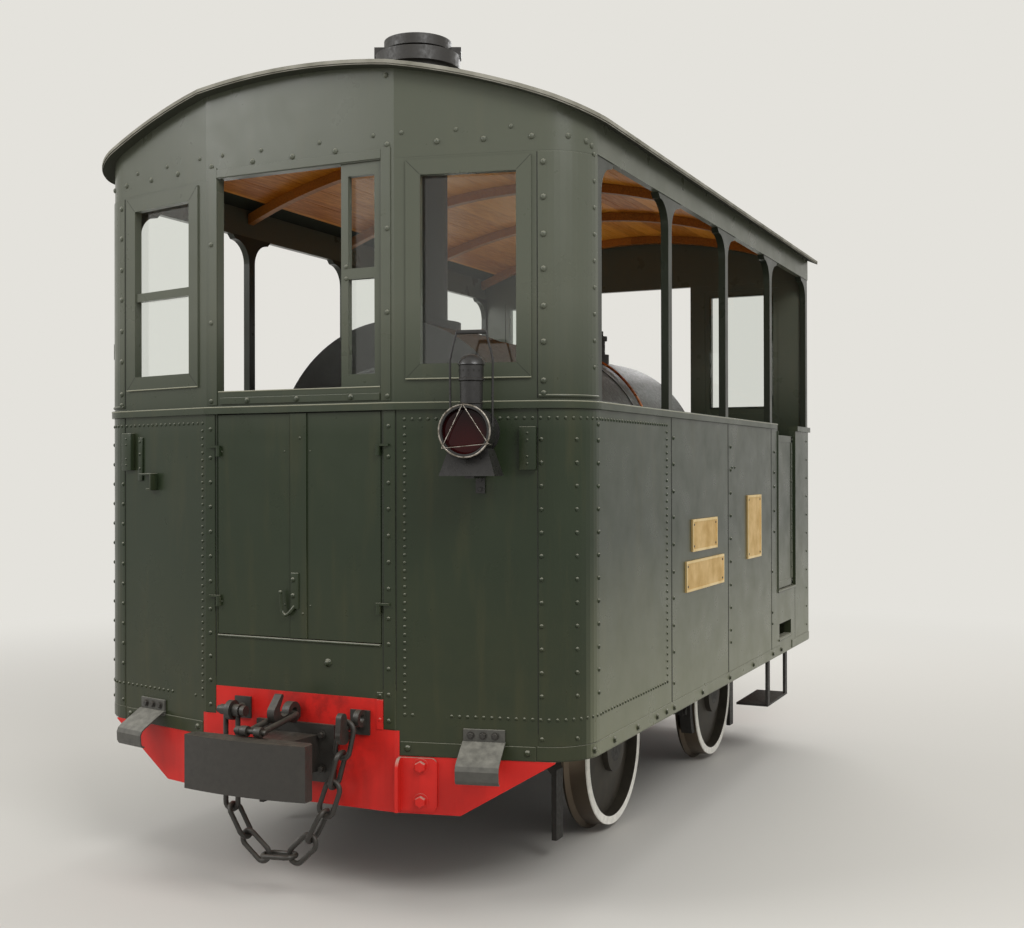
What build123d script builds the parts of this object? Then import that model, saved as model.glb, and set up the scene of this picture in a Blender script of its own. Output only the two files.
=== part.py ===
from build123d import *
from math import asin, atan, cos, degrees, radians, sin, sqrt, tan
import os

os.makedirs("parts", exist_ok=True)

# Small two-axle steam tram locomotive with an all-over cab, in millimetres.
# The front faces -Y, +X is on the right of someone looking at the front, and +Z is up.
# The origin is on the ground under the middle, and the wheels stand on their flanges.

# Body plan
body_length = 3855
half_width = 1117
centre_half = 432
facet_angle = 13.24
corner_radius = 189
wall = 40
fit_gap = 0.3
door_gap = 5

# Wheels and axles
tread_radius = 338
flange_depth = 26
tyre_inner_x = 680
tyre_width = 110
tyre_thickness = 38
flange_width = 30
hub_radius = 105
hub_inner_x = 664
hub_outer_x = 796
web_thickness = 26
axle_radius = 60
front_overhang = 1339
wheelbase = 1562
crank_radius = 140
crank_boss_radius = 56
crankpin_radius = 30
crankpin_collar = 42
rod_gap = 6
rod_thickness = 36
rod_height = 62
rod_eye_radius = 54
running_fit = 0.05
open_pin_gap = 3

# Heights above the rail
rail_top = flange_depth
beam_bottom = rail_top + 330
skirt_bottom = rail_top + 541
beam_step = rail_top + 632
beam_top = rail_top + 743
floor_top = rail_top + 900
floor_thickness = 40
door_bottom = rail_top + 945
waist_bottom = rail_top + 1815
waist_top = rail_top + 1845
sill_top = rail_top + 1905
opening_top = rail_top + 2747
cantrail_bottom = rail_top + 2756
roof_top = rail_top + 3128
roof_radius = 2820
roof_thickness = 16
roof_overhang = 50
plank_thickness = 14
plank_width = 118
plank_gap = 3
rib_depth = 46
rib_width = 42

# What the plan above gives
bend_cos = cos(radians(facet_angle))
bend_sin = sin(radians(facet_angle))
facet_length = (half_width - centre_half - corner_radius * (1 - bend_sin)) / bend_cos
front_y = -body_length / 2
rear_y = body_length / 2
corner_x = half_width - corner_radius
corner_y = front_y + facet_length * bend_sin + corner_radius * bend_cos

# Front windows, measured along the slanted faces from the bend
door_half = 378
opening_half = 375
window_near = 60
window_far = facet_length - 50
window_bottom = rail_top + 1941
window_top = rail_top + 2720
sash_lip = 14
sash_stile = 42
sash_depth = 26
glass_thickness = 5

# Sides, with distances from the front
side_door_rear = body_length - 345
side_door_front = side_door_rear - 440
side_posts = (1170, 2050, side_door_front - 135)
post_width = 46
post_depth = 34
bracket_radius = 110
tank_end = 1103
side_door_bottom = rail_top + 906
side_door_top = rail_top + 1790
leaf_thickness = 25

# Boiler
boiler_z = rail_top + 1630
boiler_radius = 600
smokebox_front = 720
smokebox_rear = 1250
barrel_rear = 2450
firebox_rear = 3250
chimney_y = 950
chimney_radius = 132

wheel_z = rail_top + tread_radius
front_axle_y = front_y + front_overhang
rear_axle_y = front_axle_y + wheelbase
arch_z = roof_top - roof_radius
roof_inside = roof_radius - roof_thickness
plank_inside = roof_inside - plank_thickness
floor_bottom = floor_top - floor_thickness
both_sides = ((1, "right"), (-1, "left"))
both_ends = ((1, front_y), (-1, rear_y))


def corner(inset, side):
    """Points of one front corner set in from the skin: bend, arc start, middle and end."""
    radius = corner_radius - inset
    half_turn = radians(90 - facet_angle) / 2
    bend = (side * (centre_half - inset * tan(radians(facet_angle / 2))), front_y + inset)
    start = (side * (corner_x + radius * bend_sin), corner_y - radius * bend_cos)
    middle = (side * (corner_x + radius * cos(half_turn)), corner_y - radius * sin(half_turn))
    end = (side * (corner_x + radius), corner_y)
    return bend, start, middle, end


def front_strip(side, start_x, outer, inner):
    """Closed line of a strip of the front wall, from start_x round the corner to the side."""
    bend, start, middle, end = corner(outer, side)
    bend_in, start_in, middle_in, end_in = corner(inner, side)
    first = (side * start_x, front_y + outer)
    Polyline(first, bend, start)
    ThreePointArc(start, middle, end)
    Line(end, end_in)
    ThreePointArc(end_in, middle_in, start_in)
    Polyline(start_in, bend_in, (side * start_x, front_y + inner), first)


def full_plan(inset):
    """Closed line of the whole body in plan, set in from the skin."""
    bend, start, middle, end = corner(inset, 1)
    bend_left, start_left, middle_left, end_left = corner(inset, -1)
    back = rear_y - inset
    Polyline(start_left, bend_left, bend, start)
    ThreePointArc(start, middle, end)
    Polyline(end, (end[0], back), (end_left[0], back), end_left)
    ThreePointArc(end_left, middle_left, start_left)


def arch_height(x, radius):
    """Height of a roof arc of this radius at x."""
    return arch_z + sqrt(radius**2 - x**2)


def under_arch(radius, half, bottom):
    """Closed line of the space under a roof arc."""
    edge = arch_height(half, radius)
    ThreePointArc((-half, edge), (0, arch_z + radius), (half, edge))
    Polyline((half, edge), (half, bottom), (-half, bottom), (-half, edge))


def facet_plane(side):
    """Plane on a slanted front face, x to the right, y up from the ground, from the bend."""
    return Plane(
        origin=(side * centre_half, front_y, 0),
        x_dir=(bend_cos, side * bend_sin, 0),
        z_dir=(side * bend_sin, -bend_cos, 0),
    )


# Wheels and axles: disc wheels with tyres and crank bosses, on an axle with its crankpins.
tyre_outer_x = tyre_inner_x + tyre_width
tyre_root = tread_radius - tyre_thickness
rod_inner_x = hub_outer_x + rod_gap
rod_outer_x = rod_inner_x + rod_thickness
pin_end_x = rod_outer_x + rod_gap
collar_thickness = 12
web_hub_x = tyre_outer_x - 22
web_rim_x = tyre_outer_x - 50

for axle_name, axle_y in (("front", front_axle_y), ("rear", rear_axle_y)):
    crankpins = ((1, axle_y, wheel_z + crank_radius), (-1, axle_y - crank_radius, wheel_z))
    with BuildPart() as wheels:
        with BuildSketch(Plane(origin=(0, axle_y, wheel_z), x_dir=(1, 0, 0), z_dir=(0, 0, 1))):
            with BuildLine():
                Polyline(
                    (hub_inner_x, axle_radius),
                    (hub_inner_x, hub_radius),
                    (web_hub_x - web_thickness, hub_radius),
                    (web_rim_x - web_thickness, tyre_root),
                    (tyre_inner_x, tyre_root),
                    (tyre_inner_x, tread_radius + flange_depth - 8),
                    (tyre_inner_x + 14, tread_radius + flange_depth),
                    (tyre_inner_x + flange_width, tread_radius + 4),
                    (tyre_outer_x, tread_radius - 2),
                    (tyre_outer_x, tyre_root),
                    (web_rim_x, tyre_root),
                    (web_hub_x, hub_radius),
                    (hub_outer_x, hub_radius),
                    (hub_outer_x, axle_radius),
                    (hub_inner_x, axle_radius),
                )
            make_face()
            mirror(about=Plane.YZ)
        revolve(axis=Axis((0, axle_y, wheel_z), (1, 0, 0)))
        for side, pin_y, pin_z in crankpins:
            with BuildSketch(Plane.YZ.offset(side * (web_rim_x - web_thickness / 2))):
                with Locations((pin_y, pin_z)):
                    Circle(crank_boss_radius)
                with Locations((axle_y, wheel_z)):
                    Circle(axle_radius, mode=Mode.SUBTRACT)
            extrude(amount=side * (hub_outer_x - web_rim_x + web_thickness / 2))
    wheels.part.label = f"wheels_{axle_name}"
    export_step(wheels.part, f"parts/wheels_{axle_name}.step")

    with BuildPart() as axle:
        with BuildSketch(Plane.YZ.offset(-hub_outer_x)):
            with Locations((axle_y, wheel_z)):
                Circle(axle_radius)
        extrude(amount=2 * hub_outer_x)
        for side, pin_y, pin_z in crankpins:
            with BuildSketch(Plane.YZ.offset(side * hub_outer_x)):
                with Locations((pin_y, pin_z)):
                    Circle(crankpin_radius)
            extrude(amount=side * (pin_end_x + collar_thickness - hub_outer_x))
            with BuildSketch(Plane.YZ.offset(side * pin_end_x)):
                with Locations((pin_y, pin_z)):
                    Circle(crankpin_collar)
            extrude(amount=side * collar_thickness)
    axle.part.label = f"axle_{axle_name}"
    export_step(axle.part, f"parts/axle_{axle_name}.step")

# Coupling rods: the right one rides with its pins up, the left one a quarter turn away.
for side, side_name, pin_y, pin_z in ((1, "right", 0, crank_radius), (-1, "left", -crank_radius, 0)):
    rod_plane = Plane(
        origin=(side * rod_inner_x, front_axle_y + pin_y, wheel_z + pin_z),
        x_dir=(0, 1, 0),
        z_dir=(side, 0, 0),
    )
    with BuildPart() as coupling_rod:
        with BuildSketch(rod_plane):
            with Locations((0, 0), (wheelbase, 0)):
                Circle(rod_eye_radius)
            with Locations((wheelbase / 2, 0)):
                Rectangle(wheelbase, rod_height)
            Circle(crankpin_radius + running_fit, mode=Mode.SUBTRACT)
            with Locations((wheelbase, 0)):
                Circle(crankpin_radius + open_pin_gap, mode=Mode.SUBTRACT)
        extrude(amount=rod_thickness)
        with BuildSketch(rod_plane.offset(rod_thickness)):
            with Locations((wheelbase / 2, 0)):
                Rectangle(wheelbase - 3 * rod_eye_radius, rod_height / 2)
        extrude(amount=-rod_thickness / 4, mode=Mode.SUBTRACT)
    coupling_rod.part.label = f"coupling_rod_{side_name}"
    export_step(coupling_rod.part, f"parts/coupling_rod_{side_name}.step")

# Buffer beams: the front one follows the three faces and shows red under the skirt.
beam_thickness = 40
beam_flat_end = 250
beam_tip = 600
beam_tip_z = rail_top + 547
beam_centre_half = 384
beam_step_half = 450
bracket_near = 8
bracket_far = 164
bracket_bottom = rail_top + 344
bracket_top = skirt_bottom - 4
bracket_thickness = 12
bracket_reach = 56
with BuildPart() as front_beam:
    with BuildSketch(Plane.XZ.offset(-front_y)):
        with BuildLine():
            Polyline(
                (-centre_half, beam_bottom),
                (centre_half, beam_bottom),
                (centre_half, beam_step),
                (beam_centre_half, beam_step),
                (beam_centre_half, beam_top),
                (-beam_centre_half, beam_top),
                (-beam_centre_half, beam_step),
                (-centre_half, beam_step),
                (-centre_half, beam_bottom),
            )
        make_face()
    extrude(amount=-beam_thickness)
    for side, side_name in both_sides:
        with BuildSketch(facet_plane(side)):
            with BuildLine():
                Polyline(
                    (0, beam_bottom),
                    (side * beam_flat_end, beam_bottom),
                    (side * beam_tip, beam_tip_z - 12),
                    (side * beam_tip, skirt_bottom - fit_gap),
                    (side * (beam_step_half - centre_half), skirt_bottom - fit_gap),
                    (side * (beam_step_half - centre_half), beam_step),
                    (0, beam_step),
                    (0, beam_bottom),
                )
            make_face()
        extrude(amount=-beam_thickness)
    # A draft box behind the plate takes the pull of the hook.
    with BuildSketch(Plane.XY.offset(beam_bottom + 20)):
        with Locations((0, front_y + beam_thickness + 30)):
            Rectangle(2 * beam_centre_half, 60)
    extrude(amount=beam_top - beam_bottom - 60)
    # Angle bracket on the right slanted face: a plate on the beam and a leg that stands out.
    right_face = facet_plane(1)
    with BuildSketch(right_face):
        with Locations(((bracket_near + bracket_far) / 2, (bracket_bottom + bracket_top) / 2)):
            RectangleRounded(bracket_far - bracket_near, bracket_top - bracket_bottom, 24)
    extrude(amount=bracket_thickness)
    leg_spot = right_face.from_local_coords((bracket_near + 8, bracket_bottom, 0))
    with BuildSketch(Plane(origin=leg_spot, x_dir=right_face.z_dir, z_dir=-right_face.x_dir)):
        with BuildLine():
            Polyline(
                (0, bracket_top - bracket_bottom),
                (0, 0),
                (bracket_reach, 0),
                (bracket_reach, bracket_top - bracket_bottom - 40),
            )
            RadiusArc(
                (bracket_reach, bracket_top - bracket_bottom - 40),
                (bracket_reach - 40, bracket_top - bracket_bottom),
                -40,
            )
            Line((bracket_reach - 40, bracket_top - bracket_bottom), (0, bracket_top - bracket_bottom))
        make_face()
    extrude(amount=-bracket_thickness)
front_beam.part.label = "front_beam"
export_step(front_beam.part, "parts/front_beam.step")

rear_beam_half = 1000
with BuildPart() as rear_beam:
    with BuildSketch(Plane.XZ.offset(-rear_y + beam_thickness)):
        with BuildLine():
            Polyline(
                (-rear_beam_half, skirt_bottom - fit_gap),
                (-rear_beam_half, beam_tip_z - 12),
                (-centre_half - beam_flat_end, beam_bottom),
                (centre_half + beam_flat_end, beam_bottom),
                (rear_beam_half, beam_tip_z - 12),
                (rear_beam_half, skirt_bottom - fit_gap),
                (beam_centre_half, skirt_bottom - fit_gap),
                (beam_centre_half, beam_top),
                (-beam_centre_half, beam_top),
                (-beam_centre_half, skirt_bottom - fit_gap),
                (-rear_beam_half, skirt_bottom - fit_gap),
            )
        make_face()
    extrude(amount=-beam_thickness)
    with BuildSketch(Plane.XY.offset(beam_bottom + 20)):
        with Locations((0, rear_y - beam_thickness - 30)):
            Rectangle(2 * beam_centre_half, 60)
    extrude(amount=beam_top - beam_bottom - 60)
rear_beam.part.label = "rear_beam"
export_step(rear_beam.part, "parts/rear_beam.step")

# Frame plates inside the wheels, with a horn gap for each axlebox and cross stretchers.
frame_inner_x = 600
frame_thickness = 25
frame_bottom = rail_top + 430
horn_bottom = rail_top + 235
horn_half = 91
horn_width = 190
axlebox_top = wheel_z + 100
stretcher_thickness = 20
stretchers = (300, 1900, body_length - 455)
with BuildPart() as frame_plates:
    for side, side_name in both_sides:
        with BuildSketch(Plane.YZ.offset(side * frame_inner_x)):
            with BuildLine():
                Polyline(
                    (front_y, floor_bottom),
                    (front_y, frame_bottom),
                    (rear_y, frame_bottom),
                    (rear_y, floor_bottom),
                    (front_y, floor_bottom),
                )
            make_face()
            for axle_y in (front_axle_y, rear_axle_y):
                with Locations((axle_y, (horn_bottom + frame_bottom + 60) / 2)):
                    Rectangle(2 * horn_width, frame_bottom + 60 - horn_bottom)
            for axle_y in (front_axle_y, rear_axle_y):
                with Locations((axle_y, (horn_bottom + axlebox_top) / 2)):
                    Rectangle(2 * horn_half, axlebox_top - horn_bottom, mode=Mode.SUBTRACT)
        extrude(amount=side * frame_thickness)
    for stretcher_y in stretchers:
        with BuildSketch(Plane.XY.offset(frame_bottom + 40)):
            with Locations((0, front_y + stretcher_y)):
                Rectangle(2 * frame_inner_x, stretcher_thickness)
        extrude(amount=floor_bottom - frame_bottom - 80)
    with BuildSketch(Plane.XY):
        with BuildLine():
            full_plan(wall + fit_gap)
        make_face()
    extrude(amount=roof_top, mode=Mode.INTERSECT)
    # Room for the draft boxes behind the beams.
    with BuildSketch(Plane.XY.offset(beam_bottom)):
        for end, end_y in both_ends:
            with Locations((0, end_y + end * (beam_thickness + 30))):
                Rectangle(2 * beam_centre_half + 2 * fit_gap, 60 + 2 * fit_gap)
    extrude(amount=beam_top - beam_bottom, mode=Mode.SUBTRACT)
frame_plates.part.label = "frame_plates"
export_step(frame_plates.part, "parts/frame_plates.step")

# Cylinder block between the frames, with its saddle under the smokebox: one heavy mass.
block_front = 500
block_rear = 985
block_bottom = rail_top + 330
saddle_half = 330
saddle_front = 760
with BuildPart() as cylinder_block:
    with BuildSketch(Plane.XZ.offset(-front_y - block_front)):
        with BuildLine():
            Polyline(
                (-frame_inner_x + fit_gap, floor_bottom - fit_gap),
                (-frame_inner_x + fit_gap, block_bottom + 60),
                (-frame_inner_x + 90, block_bottom),
                (frame_inner_x - 90, block_bottom),
                (frame_inner_x - fit_gap, block_bottom + 60),
                (frame_inner_x - fit_gap, floor_bottom - fit_gap),
                (-frame_inner_x + fit_gap, floor_bottom - fit_gap),
            )
        make_face()
    extrude(amount=-(block_rear - block_front))
    with BuildSketch(Plane.XZ.offset(-front_y - saddle_front)):
        with Locations((0, (floor_bottom - fit_gap + boiler_z) / 2)):
            Rectangle(2 * saddle_half, boiler_z - floor_bottom + fit_gap)
        with Locations((0, boiler_z)):
            Circle(boiler_radius + 14 + fit_gap, mode=Mode.SUBTRACT)
    extrude(amount=-(block_rear - saddle_front))
cylinder_block.part.label = "cylinder_block"
export_step(cylinder_block.part, "parts/cylinder_block.step")

# Axleboxes in their horns, each with a leaf spring above it hung from the frame plate.
box_half = horn_half - fit_gap
box_bottom = wheel_z - 85
cheek = 22
spring_half = 330
spring_x = 556
spring_width = 66
buckle_inner = spring_x - spring_width / 2
buckle_outer = frame_inner_x - fit_gap
with BuildPart() as axleboxes:
    for side, side_name in both_sides:
        for axle_y in (front_axle_y, rear_axle_y):
            with BuildSketch(Plane.XZ.offset(-axle_y + box_half)):
                with Locations((side * (frame_inner_x + frame_thickness / 2), (box_bottom + axlebox_top) / 2)):
                    Rectangle(80, axlebox_top - box_bottom - 2 * fit_gap)
            extrude(amount=-2 * box_half)
            for cheek_x in (frame_inner_x - 2 - cheek / 2, frame_inner_x + frame_thickness + 2 + cheek / 2):
                with BuildSketch(Plane.YZ.offset(side * cheek_x)):
                    with Locations((axle_y, (box_bottom + axlebox_top) / 2)):
                        Rectangle(2 * box_half + 40, axlebox_top - box_bottom - 20)
                extrude(amount=cheek / 2, both=True)
            with BuildSketch(Plane.YZ.offset(side * (spring_x - spring_width / 2))):
                with BuildLine():
                    ThreePointArc(
                        (axle_y - spring_half, axlebox_top + 100),
                        (axle_y, axlebox_top + 30),
                        (axle_y + spring_half, axlebox_top + 100),
                    )
                    Polyline(
                        (axle_y + spring_half, axlebox_top + 100),
                        (axle_y + spring_half, axlebox_top + 114),
                        (axle_y + 60, axlebox_top + 100),
                        (axle_y - 60, axlebox_top + 100),
                        (axle_y - spring_half, axlebox_top + 114),
                        (axle_y - spring_half, axlebox_top + 100),
                    )
                make_face()
            extrude(amount=side * spring_width)
            # Spring buckle down to the box, and a hanger pin into the plate at each end.
            with BuildSketch(Plane.XY.offset(box_bottom + 60)):
                with Locations((side * (buckle_inner + buckle_outer) / 2, axle_y)):
                    Rectangle(buckle_outer - buckle_inner, 90)
            extrude(amount=axlebox_top + 60 - box_bottom)
            for pin_y in (axle_y - spring_half + 16, axle_y + spring_half - 16):
                with BuildSketch(Plane.YZ.offset(side * (spring_x - spring_width / 2 - 8))):
                    with Locations((pin_y, axlebox_top + 112)):
                        Circle(17)
                extrude(amount=side * (frame_inner_x - fit_gap - spring_x + spring_width / 2 + 8))
            with BuildSketch(Plane.YZ.offset(side * (frame_inner_x - 60))):
                with Locations((axle_y, wheel_z)):
                    Circle(axle_radius + running_fit)
            extrude(amount=side * 140, mode=Mode.SUBTRACT)
    # Room for the axle below the buckle on the inner side.
    for axle_y in (front_axle_y, rear_axle_y):
        with BuildSketch(Plane.YZ.offset(-frame_inner_x)):
            with Locations((axle_y, wheel_z)):
                Circle(axle_radius + running_fit)
        extrude(amount=2 * frame_inner_x, mode=Mode.SUBTRACT)
axleboxes.part.label = "axleboxes"
export_step(axleboxes.part, "parts/axleboxes.step")

# Brake gear between the wheels: blocks on hangers, cross beams, a pull rod and a shaft.
block_gap = 8
shoe_thickness = 42
shoe_width = 60
shoe_x = tyre_inner_x + flange_width + 6
hanger_z = rail_top + 600
hanger_offset = 430
beam_rod_z = rail_top + 300
beam_rod_radius = 20
shaft_y = (front_axle_y + rear_axle_y) / 2
with BuildPart() as brake_gear:
    for end, axle_y in ((1, front_axle_y), (-1, rear_axle_y)):
        shoe_inner = tread_radius + block_gap
        shoe_outer = shoe_inner + shoe_thickness
        beam_y = axle_y + end * (shoe_outer + beam_rod_radius - 6)
        for side, side_name in both_sides:
            with BuildSketch(Plane.YZ.offset(side * shoe_x)):
                with Locations((axle_y, wheel_z)):
                    Circle(shoe_outer)
                    Circle(shoe_inner, mode=Mode.SUBTRACT)
                    with Locations((end * shoe_outer, 0)):
                        Rectangle(2 * shoe_thickness + 90, 330, mode=Mode.INTERSECT)
            extrude(amount=side * shoe_width)
            with BuildSketch(Plane.YZ.offset(side * (shoe_x + 10))):
                with BuildLine():
                    Polyline(
                        (beam_y - 24, beam_rod_z - 24),
                        (beam_y + 24, beam_rod_z - 24),
                        (axle_y + end * hanger_offset + 24, hanger_z),
                        (axle_y + end * hanger_offset - 24, hanger_z),
                        (beam_y - 24, beam_rod_z - 24),
                    )
                make_face()
                with Locations((axle_y + end * hanger_offset, hanger_z)):
                    Circle(30)
            extrude(amount=side * 22)
            with BuildSketch(Plane.YZ.offset(side * (frame_inner_x + frame_thickness + fit_gap))):
                with Locations((axle_y + end * hanger_offset, hanger_z)):
                    Circle(18)
            extrude(amount=side * (shoe_x + 40 - frame_inner_x - frame_thickness))
        with BuildSketch(Plane.YZ.offset(-shoe_x - 45)):
            with Locations((beam_y, beam_rod_z)):
                Circle(beam_rod_radius)
        extrude(amount=2 * shoe_x + 90)
    with BuildSketch(Plane.XZ.offset(-front_axle_y - tread_radius - block_gap - shoe_thickness)):
        with Locations((0, beam_rod_z)):
            Circle(14)
    extrude(amount=-(wheelbase - 2 * (tread_radius + block_gap + shoe_thickness)))
    with BuildSketch(Plane.YZ.offset(-frame_inner_x + fit_gap)):
        with Locations((shaft_y, beam_rod_z + 170)):
            Circle(24)
    extrude(amount=2 * (frame_inner_x - fit_gap))
    with BuildSketch(Plane.YZ.offset(-15)):
        with Locations((shaft_y, beam_rod_z + 85)):
            Rectangle(44, 210)
    extrude(amount=30)
brake_gear.part.label = "brake_gear"
export_step(brake_gear.part, "parts/brake_gear.step")

# Boiler: smokebox with its door, barrel with bands, and a round-topped firebox.
smokebox_radius = boiler_radius + 14
firebox_half = 470
firebox_bottom = rail_top + 450
with BuildPart() as smokebox:
    with BuildSketch(Plane.XZ.offset(-front_y - smokebox_front)):
        with Locations((0, boiler_z)):
            Circle(smokebox_radius)
    extrude(amount=-(smokebox_rear - smokebox_front))
    with BuildSketch(Plane(origin=(0, front_y + smokebox_front, boiler_z), x_dir=(1, 0, 0), z_dir=(0, 0, 1))):
        with BuildLine():
            Polyline((0, 0), (420, 0), (420, -18))
            ThreePointArc((420, -18), (220, -52), (0, -64))
            Line((0, -64), (0, 0))
        make_face()
    revolve(axis=Axis((0, front_y + smokebox_front, boiler_z), (0, 1, 0)))
    with BuildSketch(Plane.XZ.offset(-front_y - smokebox_front + 60)):
        with Locations((0, boiler_z)):
            Circle(26)
    extrude(amount=40)
smokebox.part.label = "smokebox"
export_step(smokebox.part, "parts/smokebox.step")

band_width = 55
with BuildPart() as boiler:
    with BuildSketch(Plane.XZ.offset(-front_y - smokebox_rear - fit_gap)):
        with Locations((0, boiler_z)):
            Circle(boiler_radius)
    extrude(amount=-(barrel_rear - smokebox_rear - 2 * fit_gap))
    for band_y in (smokebox_rear + 60, (smokebox_rear + barrel_rear) / 2, barrel_rear - 60 - band_width):
        with BuildSketch(Plane.XZ.offset(-front_y - band_y)):
            with Locations((0, boiler_z)):
                Circle(boiler_radius + 5)
        extrude(amount=-band_width)
boiler.part.label = "boiler"
export_step(boiler.part, "parts/boiler.step")

with BuildPart() as firebox:
    with BuildSketch(Plane.XZ.offset(-front_y - barrel_rear)):
        with BuildLine():
            Polyline(
                (boiler_radius, boiler_z),
                (boiler_radius, floor_top + 60),
                (firebox_half, floor_top + 10),
                (firebox_half, firebox_bottom + 60),
                (firebox_half - 60, firebox_bottom),
                (-firebox_half + 60, firebox_bottom),
                (-firebox_half, firebox_bottom + 60),
                (-firebox_half, floor_top + 10),
                (-boiler_radius, floor_top + 60),
                (-boiler_radius, boiler_z),
            )
            ThreePointArc((-boiler_radius, boiler_z), (0, boiler_z + boiler_radius), (boiler_radius, boiler_z))
        make_face()
    extrude(amount=-(firebox_rear - barrel_rear))
    with BuildSketch(Plane.XZ.offset(-front_y - firebox_rear)):
        with Locations((0, boiler_z - 330)):
            Circle(165)
    extrude(amount=-22)
firebox.part.label = "firebox"
export_step(firebox.part, "parts/firebox.step")

# Chimney: a stack on the smokebox, through the roof, with two rings and lugs on top.
chimney_base = boiler_z + sqrt(smokebox_radius**2 - (chimney_radius + 40) ** 2) - 2
flange_bottom = rail_top + 3390
flange_top = rail_top + 3450
ring_bottom = rail_top + 3470
ring_top = rail_top + 3515
roof_collar = 70
with BuildPart() as chimney:
    with BuildSketch(Plane.XY.offset(boiler_z)):
        with Locations((0, front_y + chimney_y)):
            Circle(chimney_radius)
    extrude(amount=flange_top - boiler_z)
    with BuildSketch(Plane.XY.offset(boiler_z)):
        with Locations((0, front_y + chimney_y)):
            Circle(chimney_radius + 60)
    extrude(amount=chimney_base + 34 - boiler_z)
    with BuildSketch(Plane.XZ.offset(-front_y - smokebox_front)):
        with Locations((0, boiler_z)):
            Circle(smokebox_radius + fit_gap)
    extrude(amount=-(smokebox_rear - smokebox_front), mode=Mode.SUBTRACT)
    for low, high, radius in (
        (roof_top + fit_gap, roof_top + 110, chimney_radius + roof_collar),
        (roof_top + 110, flange_bottom, chimney_radius + 30),
        (flange_bottom, flange_top, 190),
        (flange_top, ring_bottom, 128),
        (ring_bottom, ring_top, 152),
    ):
        with BuildSketch(Plane.XY.offset(low)):
            with Locations((0, front_y + chimney_y)):
                Circle(radius)
        extrude(amount=high - low)
    with BuildSketch(Plane.XY.offset(ring_bottom - 30)):
        with Locations((0, front_y + chimney_y)):
            with PolarLocations(165, 2, start_angle=25):
                Rectangle(60, 40)
    extrude(amount=52)
    with BuildSketch(Plane.XY.offset(roof_top + 120)):
        with Locations((0, front_y + chimney_y)):
            Circle(104)
    extrude(amount=ring_top - roof_top, mode=Mode.SUBTRACT)
chimney.part.label = "chimney"
export_step(chimney.part, "parts/chimney.step")

# Floor plate inside the walls, open round the saddle and the firebox.
with BuildPart() as floor_plate:
    with BuildSketch(Plane.XY.offset(floor_bottom)):
        with BuildLine():
            full_plan(wall + fit_gap)
        make_face()
        with Locations((0, front_y + (saddle_front + block_rear) / 2)):
            Rectangle(2 * saddle_half + 4, block_rear - saddle_front + 4, mode=Mode.SUBTRACT)
        with Locations((0, front_y + (barrel_rear + firebox_rear) / 2)):
            Rectangle(2 * firebox_half + 4, firebox_rear - barrel_rear + 4, mode=Mode.SUBTRACT)
    extrude(amount=floor_thickness)
floor_plate.part.label = "floor_plate"
export_step(floor_plate.part, "parts/floor_plate.step")

# Two water tanks in the front corners, either side of the smokebox.
tank_top = rail_top + 1781
tank_inner_x = 660
tank_nose_x = 410
with BuildPart() as front_tanks:
    for side, side_name in both_sides:
        bend_in, start_in, middle_in, end_in = corner(wall + fit_gap, side)
        tank_front = (side * tank_nose_x, front_y + wall + fit_gap)
        with BuildSketch(Plane.XY.offset(floor_top)):
            with BuildLine():
                Polyline(tank_front, bend_in, start_in)
                ThreePointArc(start_in, middle_in, end_in)
                Polyline(
                    end_in,
                    (end_in[0], front_y + tank_end),
                    (side * tank_inner_x, front_y + tank_end),
                    (side * tank_inner_x, front_y + smokebox_front - 40),
                    (side * tank_nose_x, front_y + smokebox_front - 160),
                    tank_front,
                )
            make_face()
        extrude(amount=tank_top - floor_top)
front_tanks.part.label = "front_tanks"
export_step(front_tanks.part, "parts/front_tanks.step")

# Lower front: an apron under the doors, and a panel on each side that turns the corner.
with BuildPart() as front_apron:
    with BuildSketch(Plane.XZ.offset(-front_y)):
        with Locations((0, (beam_top + door_bottom) / 2)):
            Rectangle(2 * (door_half - fit_gap), door_bottom - beam_top - 2 * fit_gap)
    extrude(amount=-wall)
front_apron.part.label = "front_apron"
export_step(front_apron.part, "parts/front_apron.step")

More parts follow.
